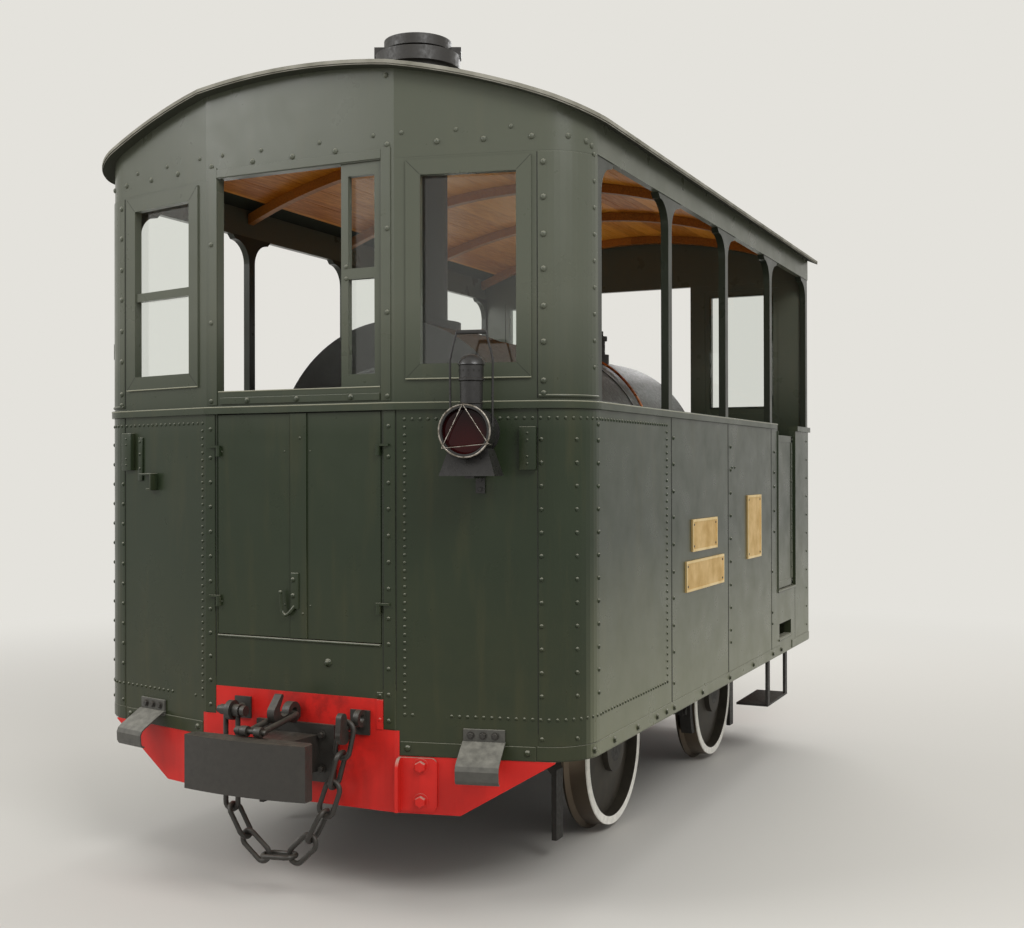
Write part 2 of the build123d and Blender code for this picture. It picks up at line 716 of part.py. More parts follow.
pintle_radius = 5
knuckle_radius = 9
knuckle_height = 34
hinge_out = 10
hinge_in = 11
arm_height = 8
arm_reach = 46
hinge_axis_x = door_half - hinge_in
hinge_axis_y = front_y - hinge_out
front_hinges = (door_bottom + 130, waist_bottom - 150)
for side, side_name in both_sides:
    with BuildPart() as front_panel:
        with BuildSketch(Plane.XY.offset(skirt_bottom)):
            with BuildLine():
                front_strip(side, door_half, 0, wall)
            make_face()
        extrude(amount=waist_bottom - skirt_bottom)
        with BuildSketch(Plane.XZ.offset(-front_y + 20)):
            with Locations((side * beam_step_half / 2, (skirt_bottom + beam_step) / 2)):
                Rectangle(beam_step_half + 2 * fit_gap, beam_step - skirt_bottom + 2 * fit_gap)
            with Locations((side * beam_centre_half / 2, (skirt_bottom + beam_top) / 2)):
                Rectangle(beam_centre_half + 2 * fit_gap, beam_top - skirt_bottom + 2 * fit_gap)
        extrude(amount=-wall - 60, mode=Mode.SUBTRACT)
        for hinge_z in front_hinges:
            arm_z = hinge_z + knuckle_height / 2 + fit_gap
            with BuildSketch(Plane.XY.offset(arm_z)):
                with Locations((side * hinge_axis_x, hinge_axis_y)):
                    Circle(knuckle_radius)
                    with Locations((side * arm_reach / 2, 0)):
                        Rectangle(arm_reach, 10)
                with Locations((side * (door_half + 24), front_y - hinge_out / 2)):
                    Rectangle(22, hinge_out)
            extrude(amount=arm_height)
            with BuildSketch(Plane.XY.offset(arm_z - knuckle_height)):
                with Locations((side * hinge_axis_x, hinge_axis_y)):
                    Circle(pintle_radius)
            extrude(amount=knuckle_height + arm_height)
    front_panel.part.label = f"front_panel_{side_name}"
    export_step(front_panel.part, f"parts/front_panel_{side_name}.step")

# Access doors below the waist: they meet off centre, where the right leaf has its stile.
meeting_x = -30
stile_width = 74
stile_proud = 6
for side, side_name in both_sides:
    hung_edge = side * (door_half - door_gap)
    free_edge = meeting_x + side * door_gap / 2
    with BuildPart() as front_door:
        with BuildSketch(Plane.XZ.offset(-front_y)):
            with Locations(((hung_edge + free_edge) / 2, (door_bottom + waist_bottom) / 2)):
                Rectangle(abs(hung_edge - free_edge), waist_bottom - door_bottom - 2 * door_gap)
        extrude(amount=-leaf_thickness)
        if side > 0:
            with BuildSketch(Plane.XZ.offset(-front_y)):
                with Locations((free_edge + stile_width / 2, (door_bottom + waist_bottom) / 2)):
                    Rectangle(stile_width, waist_bottom - door_bottom - 2 * door_gap)
            extrude(amount=stile_proud)
        for hinge_z in front_hinges:
            with BuildSketch(Plane.XY.offset(hinge_z - knuckle_height / 2)):
                with Locations((side * hinge_axis_x, hinge_axis_y)):
                    Circle(knuckle_radius)
                with Locations((side * hinge_axis_x, hinge_axis_y + hinge_out / 2)):
                    Rectangle(2 * knuckle_radius - 4, hinge_out)
                with Locations((side * hinge_axis_x, hinge_axis_y)):
                    Circle(pintle_radius + running_fit, mode=Mode.SUBTRACT)
            extrude(amount=knuckle_height)
    front_door.part.label = f"front_door_{side_name}"
    export_step(front_door.part, f"parts/front_door_{side_name}.step")

# Lower sides, one panel each side with its doorway near the rear and a step hole below.
step_hole_bottom = rail_top + 636
step_hole_top = rail_top + 716
step_hole_front = side_door_front + 31
step_hole_rear = side_door_rear - 125
side_hinge_y = front_y + side_door_rear - hinge_in
side_hinge_x = half_width - wall - hinge_out
side_hinges = (side_door_bottom + 120, side_door_top - 120)
for side, side_name in both_sides:
    with BuildPart() as side_panel:
        with BuildSketch(Plane.YZ.offset(side * half_width)):
            with Locations(((corner_y + fit_gap + rear_y) / 2, (skirt_bottom + waist_bottom) / 2)):
                Rectangle(rear_y - corner_y - fit_gap, waist_bottom - skirt_bottom)
            with Locations(
                (front_y + (side_door_front + side_door_rear) / 2, (side_door_bottom + waist_top) / 2)
            ):
                Rectangle(
                    side_door_rear - side_door_front, waist_top - side_door_bottom, mode=Mode.SUBTRACT
                )
            with Locations(
                (front_y + (step_hole_front + step_hole_rear) / 2, (step_hole_bottom + step_hole_top) / 2)
            ):
                Rectangle(
                    step_hole_rear - step_hole_front, step_hole_top - step_hole_bottom, mode=Mode.SUBTRACT
                )
        extrude(amount=-side * wall)
        for hinge_z in side_hinges:
            arm_z = hinge_z + knuckle_height / 2 + fit_gap
            with BuildSketch(Plane.XY.offset(arm_z)):
                with Locations((side * side_hinge_x, side_hinge_y)):
                    Circle(knuckle_radius)
                    with Locations((0, arm_reach / 2)):
                        Rectangle(10, arm_reach)
                with Locations((side * (half_width - wall - hinge_out / 2), side_hinge_y + hinge_in + 24)):
                    Rectangle(hinge_out, 22)
            extrude(amount=arm_height)
            with BuildSketch(Plane.XY.offset(arm_z - knuckle_height)):
                with Locations((side * side_hinge_x, side_hinge_y)):
                    Circle(pintle_radius)
            extrude(amount=knuckle_height + arm_height)
    side_panel.part.label = f"side_panel_{side_name}"
    export_step(side_panel.part, f"parts/side_panel_{side_name}.step")

    with BuildPart() as side_door:
        with BuildSketch(Plane.YZ.offset(side * (half_width - wall))):
            with Locations(
                (front_y + (side_door_front + side_door_rear) / 2, (side_door_bottom + side_door_top) / 2)
            ):
                Rectangle(
                    side_door_rear - side_door_front - 2 * door_gap,
                    side_door_top - side_door_bottom - 2 * door_gap,
                )
        extrude(amount=side * leaf_thickness)
        for hinge_z in side_hinges:
            with BuildSketch(Plane.XY.offset(hinge_z - knuckle_height / 2)):
                with Locations((side * side_hinge_x, side_hinge_y)):
                    Circle(knuckle_radius)
                with Locations((side * (side_hinge_x + hinge_out / 2), side_hinge_y)):
                    Rectangle(hinge_out, 2 * knuckle_radius - 4)
                with Locations((side * side_hinge_x, side_hinge_y)):
                    Circle(pintle_radius + running_fit, mode=Mode.SUBTRACT)
            extrude(amount=knuckle_height)
    side_door.part.label = f"side_door_{side_name}"
    export_step(side_door.part, f"parts/side_door_{side_name}.step")

# Rear wall below the waist.
with BuildPart() as rear_panel:
    with BuildSketch(Plane.XZ.offset(-rear_y + wall)):
        with Locations((0, (skirt_bottom + waist_bottom) / 2)):
            Rectangle(2 * (half_width - wall - fit_gap), waist_bottom - skirt_bottom)
        with Locations((0, (skirt_bottom + beam_top) / 2)):
            Rectangle(
                2 * (beam_centre_half + fit_gap), beam_top - skirt_bottom + 2 * fit_gap, mode=Mode.SUBTRACT
            )
    extrude(amount=-wall)
rear_panel.part.label = "rear_panel"
export_step(rear_panel.part, "parts/rear_panel.step")

# Waist rail: a moulding on top of the lower walls, raised to a sill under the front opening.
waist_proud = 14
waist_end = side_door_front - 60
cap_start = side_door_rear + 2
with BuildPart() as waist_rail:
    with BuildSketch(Plane.XY.offset(waist_bottom + fit_gap)):
        for side, side_name in both_sides:
            with BuildLine():
                front_strip(side, 0, -waist_proud, wall)
            make_face()
            with Locations(
                (side * (half_width + (waist_proud - wall) / 2), (corner_y + front_y + waist_end) / 2)
            ):
                Rectangle(wall + waist_proud, front_y + waist_end - corner_y)
    extrude(amount=waist_top - waist_bottom - fit_gap)
    with BuildSketch(Plane.XY.offset(waist_top)):
        with Locations((0, front_y + wall / 2)):
            Rectangle(2 * (opening_half - fit_gap), wall)
    extrude(amount=sill_top - waist_top)
    with BuildSketch(Plane.XY.offset(waist_bottom + fit_gap)):
        for side, side_name in both_sides:
            with Locations(
                (side * (half_width + (waist_proud - wall) / 2), (front_y + cap_start + rear_y) / 2)
            ):
                Rectangle(wall + waist_proud, rear_y - front_y - cap_start)
        with Locations((0, rear_y - wall / 2)):
            Rectangle(2 * (half_width - 10), wall)
    extrude(amount=waist_top - waist_bottom - fit_gap)
waist_rail.part.label = "waist_rail"
export_step(waist_rail.part, "parts/waist_rail.step")

# Upper front: a wall round each corner with its window cut, and the arched panel above.
with BuildPart() as front_window_walls:
    with BuildSketch(Plane.XY.offset(waist_top + fit_gap)):
        for side, side_name in both_sides:
            with BuildLine():
                front_strip(side, opening_half, 0, wall)
            make_face()
    extrude(amount=opening_top - waist_top - 2 * fit_gap)
    for side, side_name in both_sides:
        with BuildSketch(facet_plane(side).offset(20)):
            with Locations((side * (window_near + window_far) / 2, (window_bottom + window_top) / 2)):
                Rectangle(window_far - window_near, window_top - window_bottom)
        extrude(amount=-wall - 40, mode=Mode.SUBTRACT)
front_window_walls.part.label = "front_window_walls"
export_step(front_window_walls.part, "parts/front_window_walls.step")

with BuildPart() as front_arch:
    with BuildSketch(Plane.XY.offset(opening_top)):
        for side, side_name in both_sides:
            with BuildLine():
                front_strip(side, 0, 0, wall)
            make_face()
    extrude(amount=roof_top - opening_top)
    with BuildSketch(Plane.XZ):
        with BuildLine():
            under_arch(roof_inside - fit_gap, half_width + 20, opening_top - 10)
        make_face()
    extrude(amount=body_length, both=True, mode=Mode.INTERSECT)
front_arch.part.label = "front_arch"
export_step(front_arch.part, "parts/front_arch.step")

# Letterboards along the sides and across the rear, cut to the roof's arc.
board_thickness = 30
with BuildPart() as letterboards:
    with BuildSketch(Plane.XY.offset(cantrail_bottom)):
        for side, side_name in both_sides:
            with Locations((side * (half_width - board_thickness / 2), (corner_y + rear_y) / 2)):
                Rectangle(board_thickness, rear_y - corner_y - 2 * fit_gap)
        with Locations((0, rear_y - board_thickness / 2)):
            Rectangle(2 * (half_width - board_thickness - 1), board_thickness)
    extrude(amount=roof_top - cantrail_bottom)
    with BuildSketch(Plane.XZ):
        with BuildLine():
            under_arch(roof_inside - fit_gap, half_width + 20, cantrail_bottom - 10)
        make_face()
    extrude(amount=body_length, both=True, mode=Mode.INTERSECT)
letterboards.part.label = "letterboards"
export_step(letterboards.part, "parts/letterboards.step")

# Posts between the waist and the letterboard, with a curved bracket each way at the top.
post_outer_x = half_width - 4
with BuildPart() as posts:
    for side, side_name in both_sides:
        rows = [(front_y + distance, 1, 1) for distance in side_posts]
        rows.append((rear_y - post_width / 2, 1, 0))
        rows.append((corner_y + post_width / 2 + 4, 0, 1))
        for post_y, bracket_ahead, bracket_behind in rows:
            on_rail = post_y < front_y + waist_end or post_y > front_y + cap_start
            post_foot = waist_top if on_rail else waist_bottom
            with BuildSketch(Plane.YZ.offset(side * post_outer_x)):
                with Locations((post_y, (post_foot + cantrail_bottom) / 2)):
                    Rectangle(post_width, cantrail_bottom - post_foot - 2 * fit_gap)
                for turned, wanted in ((-1, bracket_ahead), (1, bracket_behind)):
                    if wanted:
                        edge = post_y + turned * post_width / 2
                        tip = edge + turned * bracket_radius
                        base = cantrail_bottom - fit_gap
                        with BuildLine():
                            Polyline((edge, base - bracket_radius - 22), (edge, base), (tip + turned * 22, base))
                            Polyline((tip + turned * 22, base), (tip, base - 22))
                            ThreePointArc(
                                (tip, base - 22),
                                (
                                    edge + turned * bracket_radius * (1 - cos(radians(45))),
                                    base - 22 - bracket_radius * (1 - sin(radians(45))),
                                ),
                                (edge, base - bracket_radius - 22),
                            )
                        make_face()
            extrude(amount=-side * post_depth)
posts.part.label = "posts"
export_step(posts.part, "parts/posts.step")

# Rear wall above the waist: a window each side of a wide opening, in flat walls.
rear_window_near = 470
rear_window_far = 940
wall_near = opening_half
wall_far = post_outer_x - post_depth - 2
with BuildPart() as rear_window_walls:
    for side, side_name in both_sides:
        with BuildSketch(Plane.XZ.offset(-rear_y + board_thickness)):
            with Locations((side * (wall_near + wall_far) / 2, (waist_top + cantrail_bottom) / 2)):
                Rectangle(wall_far - wall_near, cantrail_bottom - waist_top - 2 * fit_gap)
            with Locations((side * (rear_window_near + rear_window_far) / 2, (window_bottom + window_top) / 2)):
                Rectangle(
                    rear_window_far - rear_window_near, window_top - window_bottom, mode=Mode.SUBTRACT
                )
        extrude(amount=-board_thickness)
rear_window_walls.part.label = "rear_window_walls"
export_step(rear_window_walls.part, "parts/rear_window_walls.step")

# Sashes: two fixed ones in front, the sliding one in the opening, and two at the rear.
slide_near = 197
slide_stile = 52
slide_bar = rail_top + 2331
slide_inset = 8
middle_bar = rail_top + 2316
middle_bar_height = 34
lip_thickness = 7
sash_planes = []
for side, side_name in both_sides:
    sash_planes.append((facet_plane(side), side * (window_near + window_far) / 2, window_far - window_near))
rear_plane = Plane(origin=(0, rear_y, 0), x_dir=(-1, 0, 0), z_dir=(0, 1, 0))
for side, side_name in both_sides:
    sash_planes.append(
        (rear_plane, side * (rear_window_near + rear_window_far) / 2, rear_window_far - rear_window_near)
    )
window_middle = (window_bottom + window_top) / 2
window_height = window_top - window_bottom
with BuildPart() as window_sashes:
    for plane, centre, width in sash_planes:
        with BuildSketch(plane.offset(-sash_depth)):
            with Locations((centre, window_middle)):
                Rectangle(width - 2 * fit_gap, window_height - 2 * fit_gap)
                Rectangle(width - 2 * sash_stile, window_height - 2 * sash_stile, mode=Mode.SUBTRACT)
        extrude(amount=sash_depth)
        with BuildSketch(plane.offset(fit_gap)):
            with Locations((centre, window_middle)):
                Rectangle(width + 2 * sash_lip, window_height + 2 * sash_lip)
                Rectangle(width - 2 * sash_stile, window_height - 2 * sash_stile, mode=Mode.SUBTRACT)
        extrude(amount=lip_thickness)
        with BuildSketch(plane):
            with Locations((centre, window_middle)):
                Rectangle(width - 2, window_height - 2)
                Rectangle(width - 2 * sash_stile, window_height - 2 * sash_stile, mode=Mode.SUBTRACT)
        extrude(amount=2)
    # The left front sash has a bar across its middle.
    left_plane, left_centre, left_width = sash_planes[1]
    with BuildSketch(left_plane.offset(-sash_depth)):
        with Locations((left_centre, middle_bar)):
            Rectangle(left_width - sash_stile, middle_bar_height)
    extrude(amount=sash_depth)
    with BuildSketch(Plane.XZ.offset(-front_y - slide_inset)):
        slide_width = opening_half - 1 - slide_near
        slide_middle = (opening_half - 1 + slide_near) / 2
        slide_height = opening_top - sill_top - 2 * fit_gap
        with Locations((slide_middle, (sill_top + opening_top) / 2)):
            Rectangle(slide_width, slide_height)
            Rectangle(slide_width - 2 * slide_stile + 42, slide_height - 96, mode=Mode.SUBTRACT)
        with Locations((slide_middle, slide_bar)):
            Rectangle(slide_width - slide_stile, 40)
    extrude(amount=-sash_depth)
window_sashes.part.label = "window_sashes"
export_step(window_sashes.part, "parts/window_sashes.step")

# Window panes, each against the back of its sash.
with BuildPart() as window_glass:
    for plane, centre, width in sash_planes:
        with BuildSketch(plane.offset(-sash_depth - fit_gap)):
            with Locations((centre, window_middle)):
                Rectangle(width - 2 * sash_stile + 20, window_height - 2 * sash_stile + 20)
        extrude(amount=-glass_thickness)
    with BuildSketch(Plane.XZ.offset(-front_y - slide_inset - sash_depth - fit_gap)):
        with Locations((slide_middle, (sill_top + opening_top) / 2)):
            Rectangle(slide_width - 2 * slide_stile + 60, slide_height - 76)
    extrude(amount=-glass_thickness)
window_glass.part.label = "window_glass"
export_step(window_glass.part, "parts/window_glass.step")

# Roof sheet, overhanging all round, with the chimney passing through it.
with BuildPart() as roof_sheet:
    with BuildSketch(Plane.XY.offset(opening_top)):
        with BuildLine():
            full_plan(-roof_overhang)
        make_face()
    extrude(amount=roof_top - opening_top + 10)
    with BuildSketch(Plane.XZ):
        with BuildLine():
            arch_half = half_width + roof_overhang + 20
            outer_edge = arch_height(arch_half, roof_radius)
            inner_edge = arch_height(arch_half, roof_inside)
            ThreePointArc((-arch_half, outer_edge), (0, roof_top), (arch_half, outer_edge))
            Line((arch_half, outer_edge), (arch_half, inner_edge))
            ThreePointArc((arch_half, inner_edge), (0, arch_z + roof_inside), (-arch_half, inner_edge))
            Line((-arch_half, inner_edge), (-arch_half, outer_edge))
        make_face()
    extrude(amount=body_length, both=True, mode=Mode.INTERSECT)
    with BuildSketch(Plane.XY.offset(opening_top)):
        with Locations((0, front_y + chimney_y)):
            Circle(chimney_radius + fit_gap)
    extrude(amount=roof_top, mode=Mode.SUBTRACT)
roof_sheet.part.label = "roof_sheet"
export_step(roof_sheet.part, "parts/roof_sheet.step")

# Ceiling planks run fore and aft under the roof sheet, between the walls.
plank_radius = roof_inside - 1.5 - plank_thickness / 2
plank_half_angle = degrees(atan((half_width - board_thickness - 30) / plank_radius))
plank_count = int(2 * plank_half_angle / degrees(plank_width / plank_radius))
plank_step = 2 * plank_half_angle / plank_count
with BuildPart() as ceiling_planks:
    with BuildSketch(Plane.XZ):
        with Locations((0, arch_z)):
            with PolarLocations(
                plank_radius, plank_count, start_angle=90 - plank_half_angle + plank_step / 2,
                angular_range=2 * plank_half_angle,
            ):
                Rectangle(plank_thickness, radians(plank_step) * plank_radius - plank_gap)
    extrude(amount=body_length, both=True)
    with BuildSketch(Plane.XY.offset(opening_top)):
        with BuildLine():
            full_plan(wall + 4)
        make_face()
        with Locations((0, front_y + chimney_y)):
            Circle(chimney_radius + 20, mode=Mode.SUBTRACT)
    extrude(amount=roof_top, mode=Mode.INTERSECT)
ceiling_planks.part.label = "ceiling_planks"
export_step(ceiling_planks.part, "parts/ceiling_planks.step")

# Roof ribs: one over each post, from letterboard to letterboard.
rib_half = half_width - board_thickness - fit_gap
rib_outer = plank_inside - 3
first_rib = 345
with BuildPart() as roof_ribs:
    for rib_y in (first_rib,) + side_posts + (body_length - 80,):
        with BuildSketch(Plane.XZ.offset(-front_y - rib_y + rib_width / 2)):
            with BuildLine():
                under_arch(rib_outer, rib_half, opening_top + 40)
            make_face()
            with BuildLine():
                under_arch(rib_outer - rib_depth, rib_half + 5, opening_top)
            make_face(mode=Mode.SUBTRACT)
        extrude(amount=-rib_width)
roof_ribs.part.label = "roof_ribs"
export_step(roof_ribs.part, "parts/roof_ribs.step")

# Central buffers: a curved plate on a tapered housing, bolted to each beam.
buffer_reach = 360
buffer_half = 266
buffer_bottom = rail_top + 424
buffer_top = rail_top + 622
buffer_depth = 62
flange_half = 178
with BuildPart() as buffers:
    for end, end_y in both_ends:
        face_y = end_y - end * buffer_reach
        edge_y = face_y + end * 24
        back_y = face_y + end * (buffer_depth + 24)
        beam_y = end_y - end * fit_gap
        with BuildSketch(Plane.XY.offset(buffer_bottom)):
            with BuildLine():
                ThreePointArc((-buffer_half, edge_y), (0, face_y), (buffer_half, edge_y))
                Polyline(
                    (buffer_half, edge_y),
                    (buffer_half, back_y - end * 18),
                    (buffer_half - 18, back_y),
                    (-buffer_half + 18, back_y),
                    (-buffer_half, back_y - end * 18),
                    (-buffer_half, edge_y),
                )
            make_face()
        extrude(amount=buffer_top - buffer_bottom)
        with BuildSketch(Plane.XY.offset(buffer_bottom + 30)):
            with BuildLine():
                Polyline(
                    (-70, back_y),
                    (70, back_y),
                    (110, beam_y),
                    (-110, beam_y),
                    (-70, back_y),
                )
            make_face()
        extrude(amount=buffer_top - buffer_bottom - 60)
        with BuildSketch(Plane.XZ.offset(-beam_y)):
            with Locations((0, (buffer_bottom + buffer_top) / 2)):
                Rectangle(2 * flange_half, buffer_top - buffer_bottom + 20)
        extrude(amount=end * 16)
buffers.part.label = "buffers"
export_step(buffers.part, "parts/buffers.step")

# Draw gear: a hook with its eye in the middle, side eyes, and on the front the working side fittings.
hook_z = rail_top + 674
hook_eye_out = 40
hook_eye_radius = 40
hook_eye_hole = 19
hook_half = 16
eye_x = 250
eye_z = rail_top + 668
eye_reach = 75
eye_radius = 38
eye_hole = 15
eye_half = 11
shackle_wire = 20
shackle_leg_gap = 57
shackle_drop = 286
throat_x = 272
throat_z = rail_top + 642
throat_radius = 12
rear_eye_radius = 32
with BuildPart() as draw_gear:
    for end, end_y in both_ends:
        beam_y = end_y - end * fit_gap
        # Middle hook: shank, eye for the coupling, and a horn that leans back over its throat.
        with BuildSketch(Plane.YZ.offset(-hook_half)):
            with BuildLine():
                Polyline(
                    (beam_y, hook_z - 24),
                    (beam_y - end * 128, hook_z - 30),
                )
                ThreePointArc(
                    (beam_y - end * 128, hook_z - 30),
                    (beam_y - end * 166, hook_z - 8),
                    (beam_y - end * 168, hook_z + 30),
                )
                Line((beam_y - end * 168, hook_z + 30), (beam_y - end * 124, hook_z + 78))
                ThreePointArc(
                    (beam_y - end * 124, hook_z + 78),
                    (beam_y - end * 112, hook_z + 78),
                    (beam_y - end * 112, hook_z + 66),
                )
                Line((beam_y - end * 112, hook_z + 66), (beam_y - end * 132, hook_z + 30))
                ThreePointArc(
                    (beam_y - end * 132, hook_z + 30),
                    (beam_y - end * 122, hook_z + 2),
                    (beam_y - end * 94, hook_z - 2),
                )
                Polyline(
                    (beam_y - end * 94, hook_z - 2),
                    (beam_y, hook_z + 14),
                    (beam_y, hook_z - 24),
                )
            make_face()
            with Locations((beam_y - end * hook_eye_out, hook_z)):
                Circle(hook_eye_radius)
                Circle(hook_eye_hole, mode=Mode.SUBTRACT)
        extrude(amount=2 * hook_half)
        # Side eyes on round shanks, each with a washer plate on the beam.
        for side, side_name in both_sides:
            if end > 0 and side > 0:
                continue
            with BuildSketch(Plane.XZ.offset(-beam_y)):
                with Locations((side * eye_x, eye_z)):
                    Circle(17)
            extrude(amount=end * (eye_reach - eye_hole - 3))
            with BuildSketch(Plane.XZ.offset(-beam_y)):
                with Locations((side * eye_x, eye_z)):
                    Rectangle(76, 84)
            extrude(amount=end * 8)
            with BuildSketch(Plane.YZ.offset(side * eye_x - eye_half)):
                with Locations((beam_y - end * eye_reach, eye_z)):
                    Circle(eye_radius)
                    Circle(eye_hole, mode=Mode.SUBTRACT)
            extrude(amount=2 * eye_half)
    # Right front side hook: a neck that the chain's first link lies on, a round head and an eye.
    beam_y = front_y - fit_gap
    with BuildSketch(Plane.XZ.offset(-beam_y)):
        with Locations((throat_x, throat_z)):
            Circle(throat_radius)
    extrude(amount=eye_reach + 24)
    with BuildSketch(Plane.YZ.offset(throat_x - eye_half)):
        with BuildLine():
            ThreePointArc(
                (beam_y - eye_reach - 16, throat_z + 44),
                (beam_y - eye_reach - 36, throat_z + 60),
                (beam_y - eye_reach - 58, throat_z + 40),
            )
            Line((beam_y - eye_reach - 58, throat_z + 40), (beam_y - eye_reach - 62, throat_z - 10))
            ThreePointArc(
                (beam_y - eye_reach - 62, throat_z - 10),
                (beam_y - eye_reach - 30, throat_z - 56),
                (beam_y - eye_reach + 6, throat_z - 16),
            )
            Polyline(
                (beam_y - eye_reach + 6, throat_z - 16),
                (beam_y - eye_reach - 16, throat_z - 4),
                (beam_y - eye_reach - 16, throat_z + 44),
            )
        make_face()
    extrude(amount=2 * eye_half)
    with BuildSketch(Plane.YZ.offset(throat_x + throat_radius + 6)):
        with Locations((beam_y - rear_eye_radius, eye_z + 4)):
            Circle(rear_eye_radius)
            Circle(eye_hole, mode=Mode.SUBTRACT)
    extrude(amount=2 * eye_half)
    with BuildSketch(Plane.XZ.offset(-beam_y)):
        with Locations((throat_x + 14, throat_z + 10)):
            Rectangle(84, 92)
    extrude(amount=8)
    # Left shackle: a pin through the eye, a tube on the pin, and two legs that join low down.
    pin_y = beam_y - eye_reach
    near_leg = -eye_x + 28
    far_leg = near_leg - shackle_leg_gap
    leg_low_z = rail_top + shackle_drop + shackle_leg_gap / 2
    with BuildSketch(Plane.YZ.offset(far_leg - 34)):
        with Locations((pin_y, eye_z)):
            Circle(eye_hole - fit_gap)
    extrude(amount=shackle_leg_gap + 68)
    for low_x, high_x, radius in (
        (far_leg - 20, -eye_x - eye_half - fit_gap, 20),
        (near_leg - 14, near_leg + 14, 24),
        (near_leg + 20, near_leg + 38, 20),
    ):
        with BuildSketch(Plane.YZ.offset(low_x)):
            with Locations((pin_y, eye_z)):
                Circle(radius)
        extrude(amount=high_x - low_x)
    with BuildLine() as shackle_line:
        Line((near_leg, pin_y, eye_z), (near_leg, pin_y, leg_low_z))
        ThreePointArc(
            (near_leg, pin_y, leg_low_z),
            (near_leg - shackle_leg_gap / 2, pin_y, leg_low_z - shackle_leg_gap / 2),
            (far_leg, pin_y, leg_low_z),
        )
        Line((far_leg, pin_y, leg_low_z), (far_leg, pin_y, eye_z))
    with BuildSketch(Plane(origin=(near_leg, pin_y, eye_z), z_dir=(0, 0, -1))):
        Circle(shackle_wire / 2)
    sweep(path=shackle_line.wire())
draw_gear.part.label = "draw_gear"
export_step(draw_gear.part, "parts/draw_gear.step")

# Coupling shackle: a bent bar through the hook's eye, laid forward on the buffer, with its pin.
coupling_wire = 22
coupling_half = 31
coupling_bend = 16
coupling_back_y = front_y - fit_gap - hook_eye_out
coupling_back_z = hook_z - 6
coupling_end_y = front_y - 285
coupling_end_z = rail_top + 636
with BuildPart() as coupling_shackle:
    back = Vector(0, coupling_back_y, coupling_back_z)
    run = (Vector(0, coupling_end_y, coupling_end_z) - back).normalized()
    middle_run = run * coupling_bend * (1 - cos(radians(45)))
    flat_half = Vector(coupling_half - coupling_bend, 0, 0)
    middle_half = flat_half + Vector(coupling_bend * cos(radians(45)), 0, 0)
    with BuildLine() as coupling_line:
        right_back = back + run * coupling_bend + Vector(coupling_half, 0, 0)
        left_back = back + run * coupling_bend - Vector(coupling_half, 0, 0)
        right_end = Vector(coupling_half, coupling_end_y, coupling_end_z)
        left_end = Vector(-coupling_half, coupling_end_y, coupling_end_z)
        Line(right_end, right_back)
        ThreePointArc(right_back, back + middle_run + middle_half, back + flat_half)
        Line(back + flat_half, back - flat_half)
        ThreePointArc(back - flat_half, back + middle_run - middle_half, left_back)
        Line(left_back, left_end)
    with BuildSketch(Plane(origin=right_end, z_dir=-run)):
        Circle(coupling_wire / 2)
    sweep(path=coupling_line.wire())
    for low_x, high_x, radius in (
        (-coupling_half - 44, coupling_half + 34, 9),
        (-coupling_half - 14, -coupling_half + 14, 19),
        (coupling_half - 14, coupling_half + 14, 19),
        (-coupling_half - 36, -coupling_half - 18, 16),
    ):
        with BuildSketch(Plane.YZ.offset(low_x)):
            with Locations((coupling_end_y, coupling_end_z + 8)):
                Circle(radius)
        extrude(amount=high_x - low_x)
coupling_shackle.part.label = "coupling_shackle"
export_step(coupling_shackle.part, "parts/coupling_shackle.step")

# Side chain: eight links hang from the side hook's neck to the shackle's foot. The wire has six
# flats, and a corner of it faces inward, where a link rests in the next.
link_wire = 20
link_sides = 6
link_length = 158
link_width = 82
chain_links = 8
contact_gap = 0.4
link_bend = (link_width - link_wire) / 2
link_straight = link_length - link_wire - 2 * link_bend
with BuildPart() as chain_link:
    with BuildLine() as link_line:
        Line((-link_straight / 2, link_bend, 0), (link_straight / 2, link_bend, 0))
        ThreePointArc(
            (link_straight / 2, link_bend, 0),
            (link_straight / 2 + link_bend, 0, 0),
            (link_straight / 2, -link_bend, 0),
        )
        Line((link_straight / 2, -link_bend, 0), (-link_straight / 2, -link_bend, 0))
        ThreePointArc(
            (-link_straight / 2, -link_bend, 0),
            (-link_straight / 2 - link_bend, 0, 0),
            (-link_straight / 2, link_bend, 0),
        )
    with BuildSketch(Plane(origin=(-link_straight / 2, link_bend, 0), x_dir=(0, 1, 0), z_dir=(1, 0, 0))):
        RegularPolygon(link_wire / 2, link_sides)
    sweep(path=link_line.wire())

# The chain is straight runs, in turn from contact to contact and along a link. An odd link is seen
# from its edge, so its run has both its bends.
chain_runs = [link_bend - link_wire / 2 - throat_radius - contact_gap]
for number in range(chain_links):
    chain_runs += [link_straight + number % 2 * 2 * link_bend, link_bend - link_wire - contact_gap]
chain_runs[-1] = (shackle_leg_gap - shackle_wire - link_wire) / 2 - contact_gap
foot_x = (near_leg + far_leg) / 2


def hang(curve, fall):
    """Ends of the runs, each on the slope of a hanging chain whose lowest point is this far along."""
    ends = [Vector(throat_x, pin_y, throat_z)]
    covered = 0
    for run in chain_runs:
        slope = (fall - covered - run / 2) / curve
        ends.append(ends[-1] + Vector(-1, 0, -slope).normalized() * run)
        covered += run
    return ends


def halve(low, high, too_high):
    """The value between two at which a test turns true."""
    for turn in range(40):
        middle = (low + high) / 2
        if too_high(middle):
            high = middle
        else:
            low = middle
    return low


def lowest(curve):
    """How far along the chain is lowest, for its end to be as high as the shackle's foot."""
    return halve(0, 2 * sum(chain_runs), lambda fall: hang(curve, fall)[-1].Z < leg_low_z)


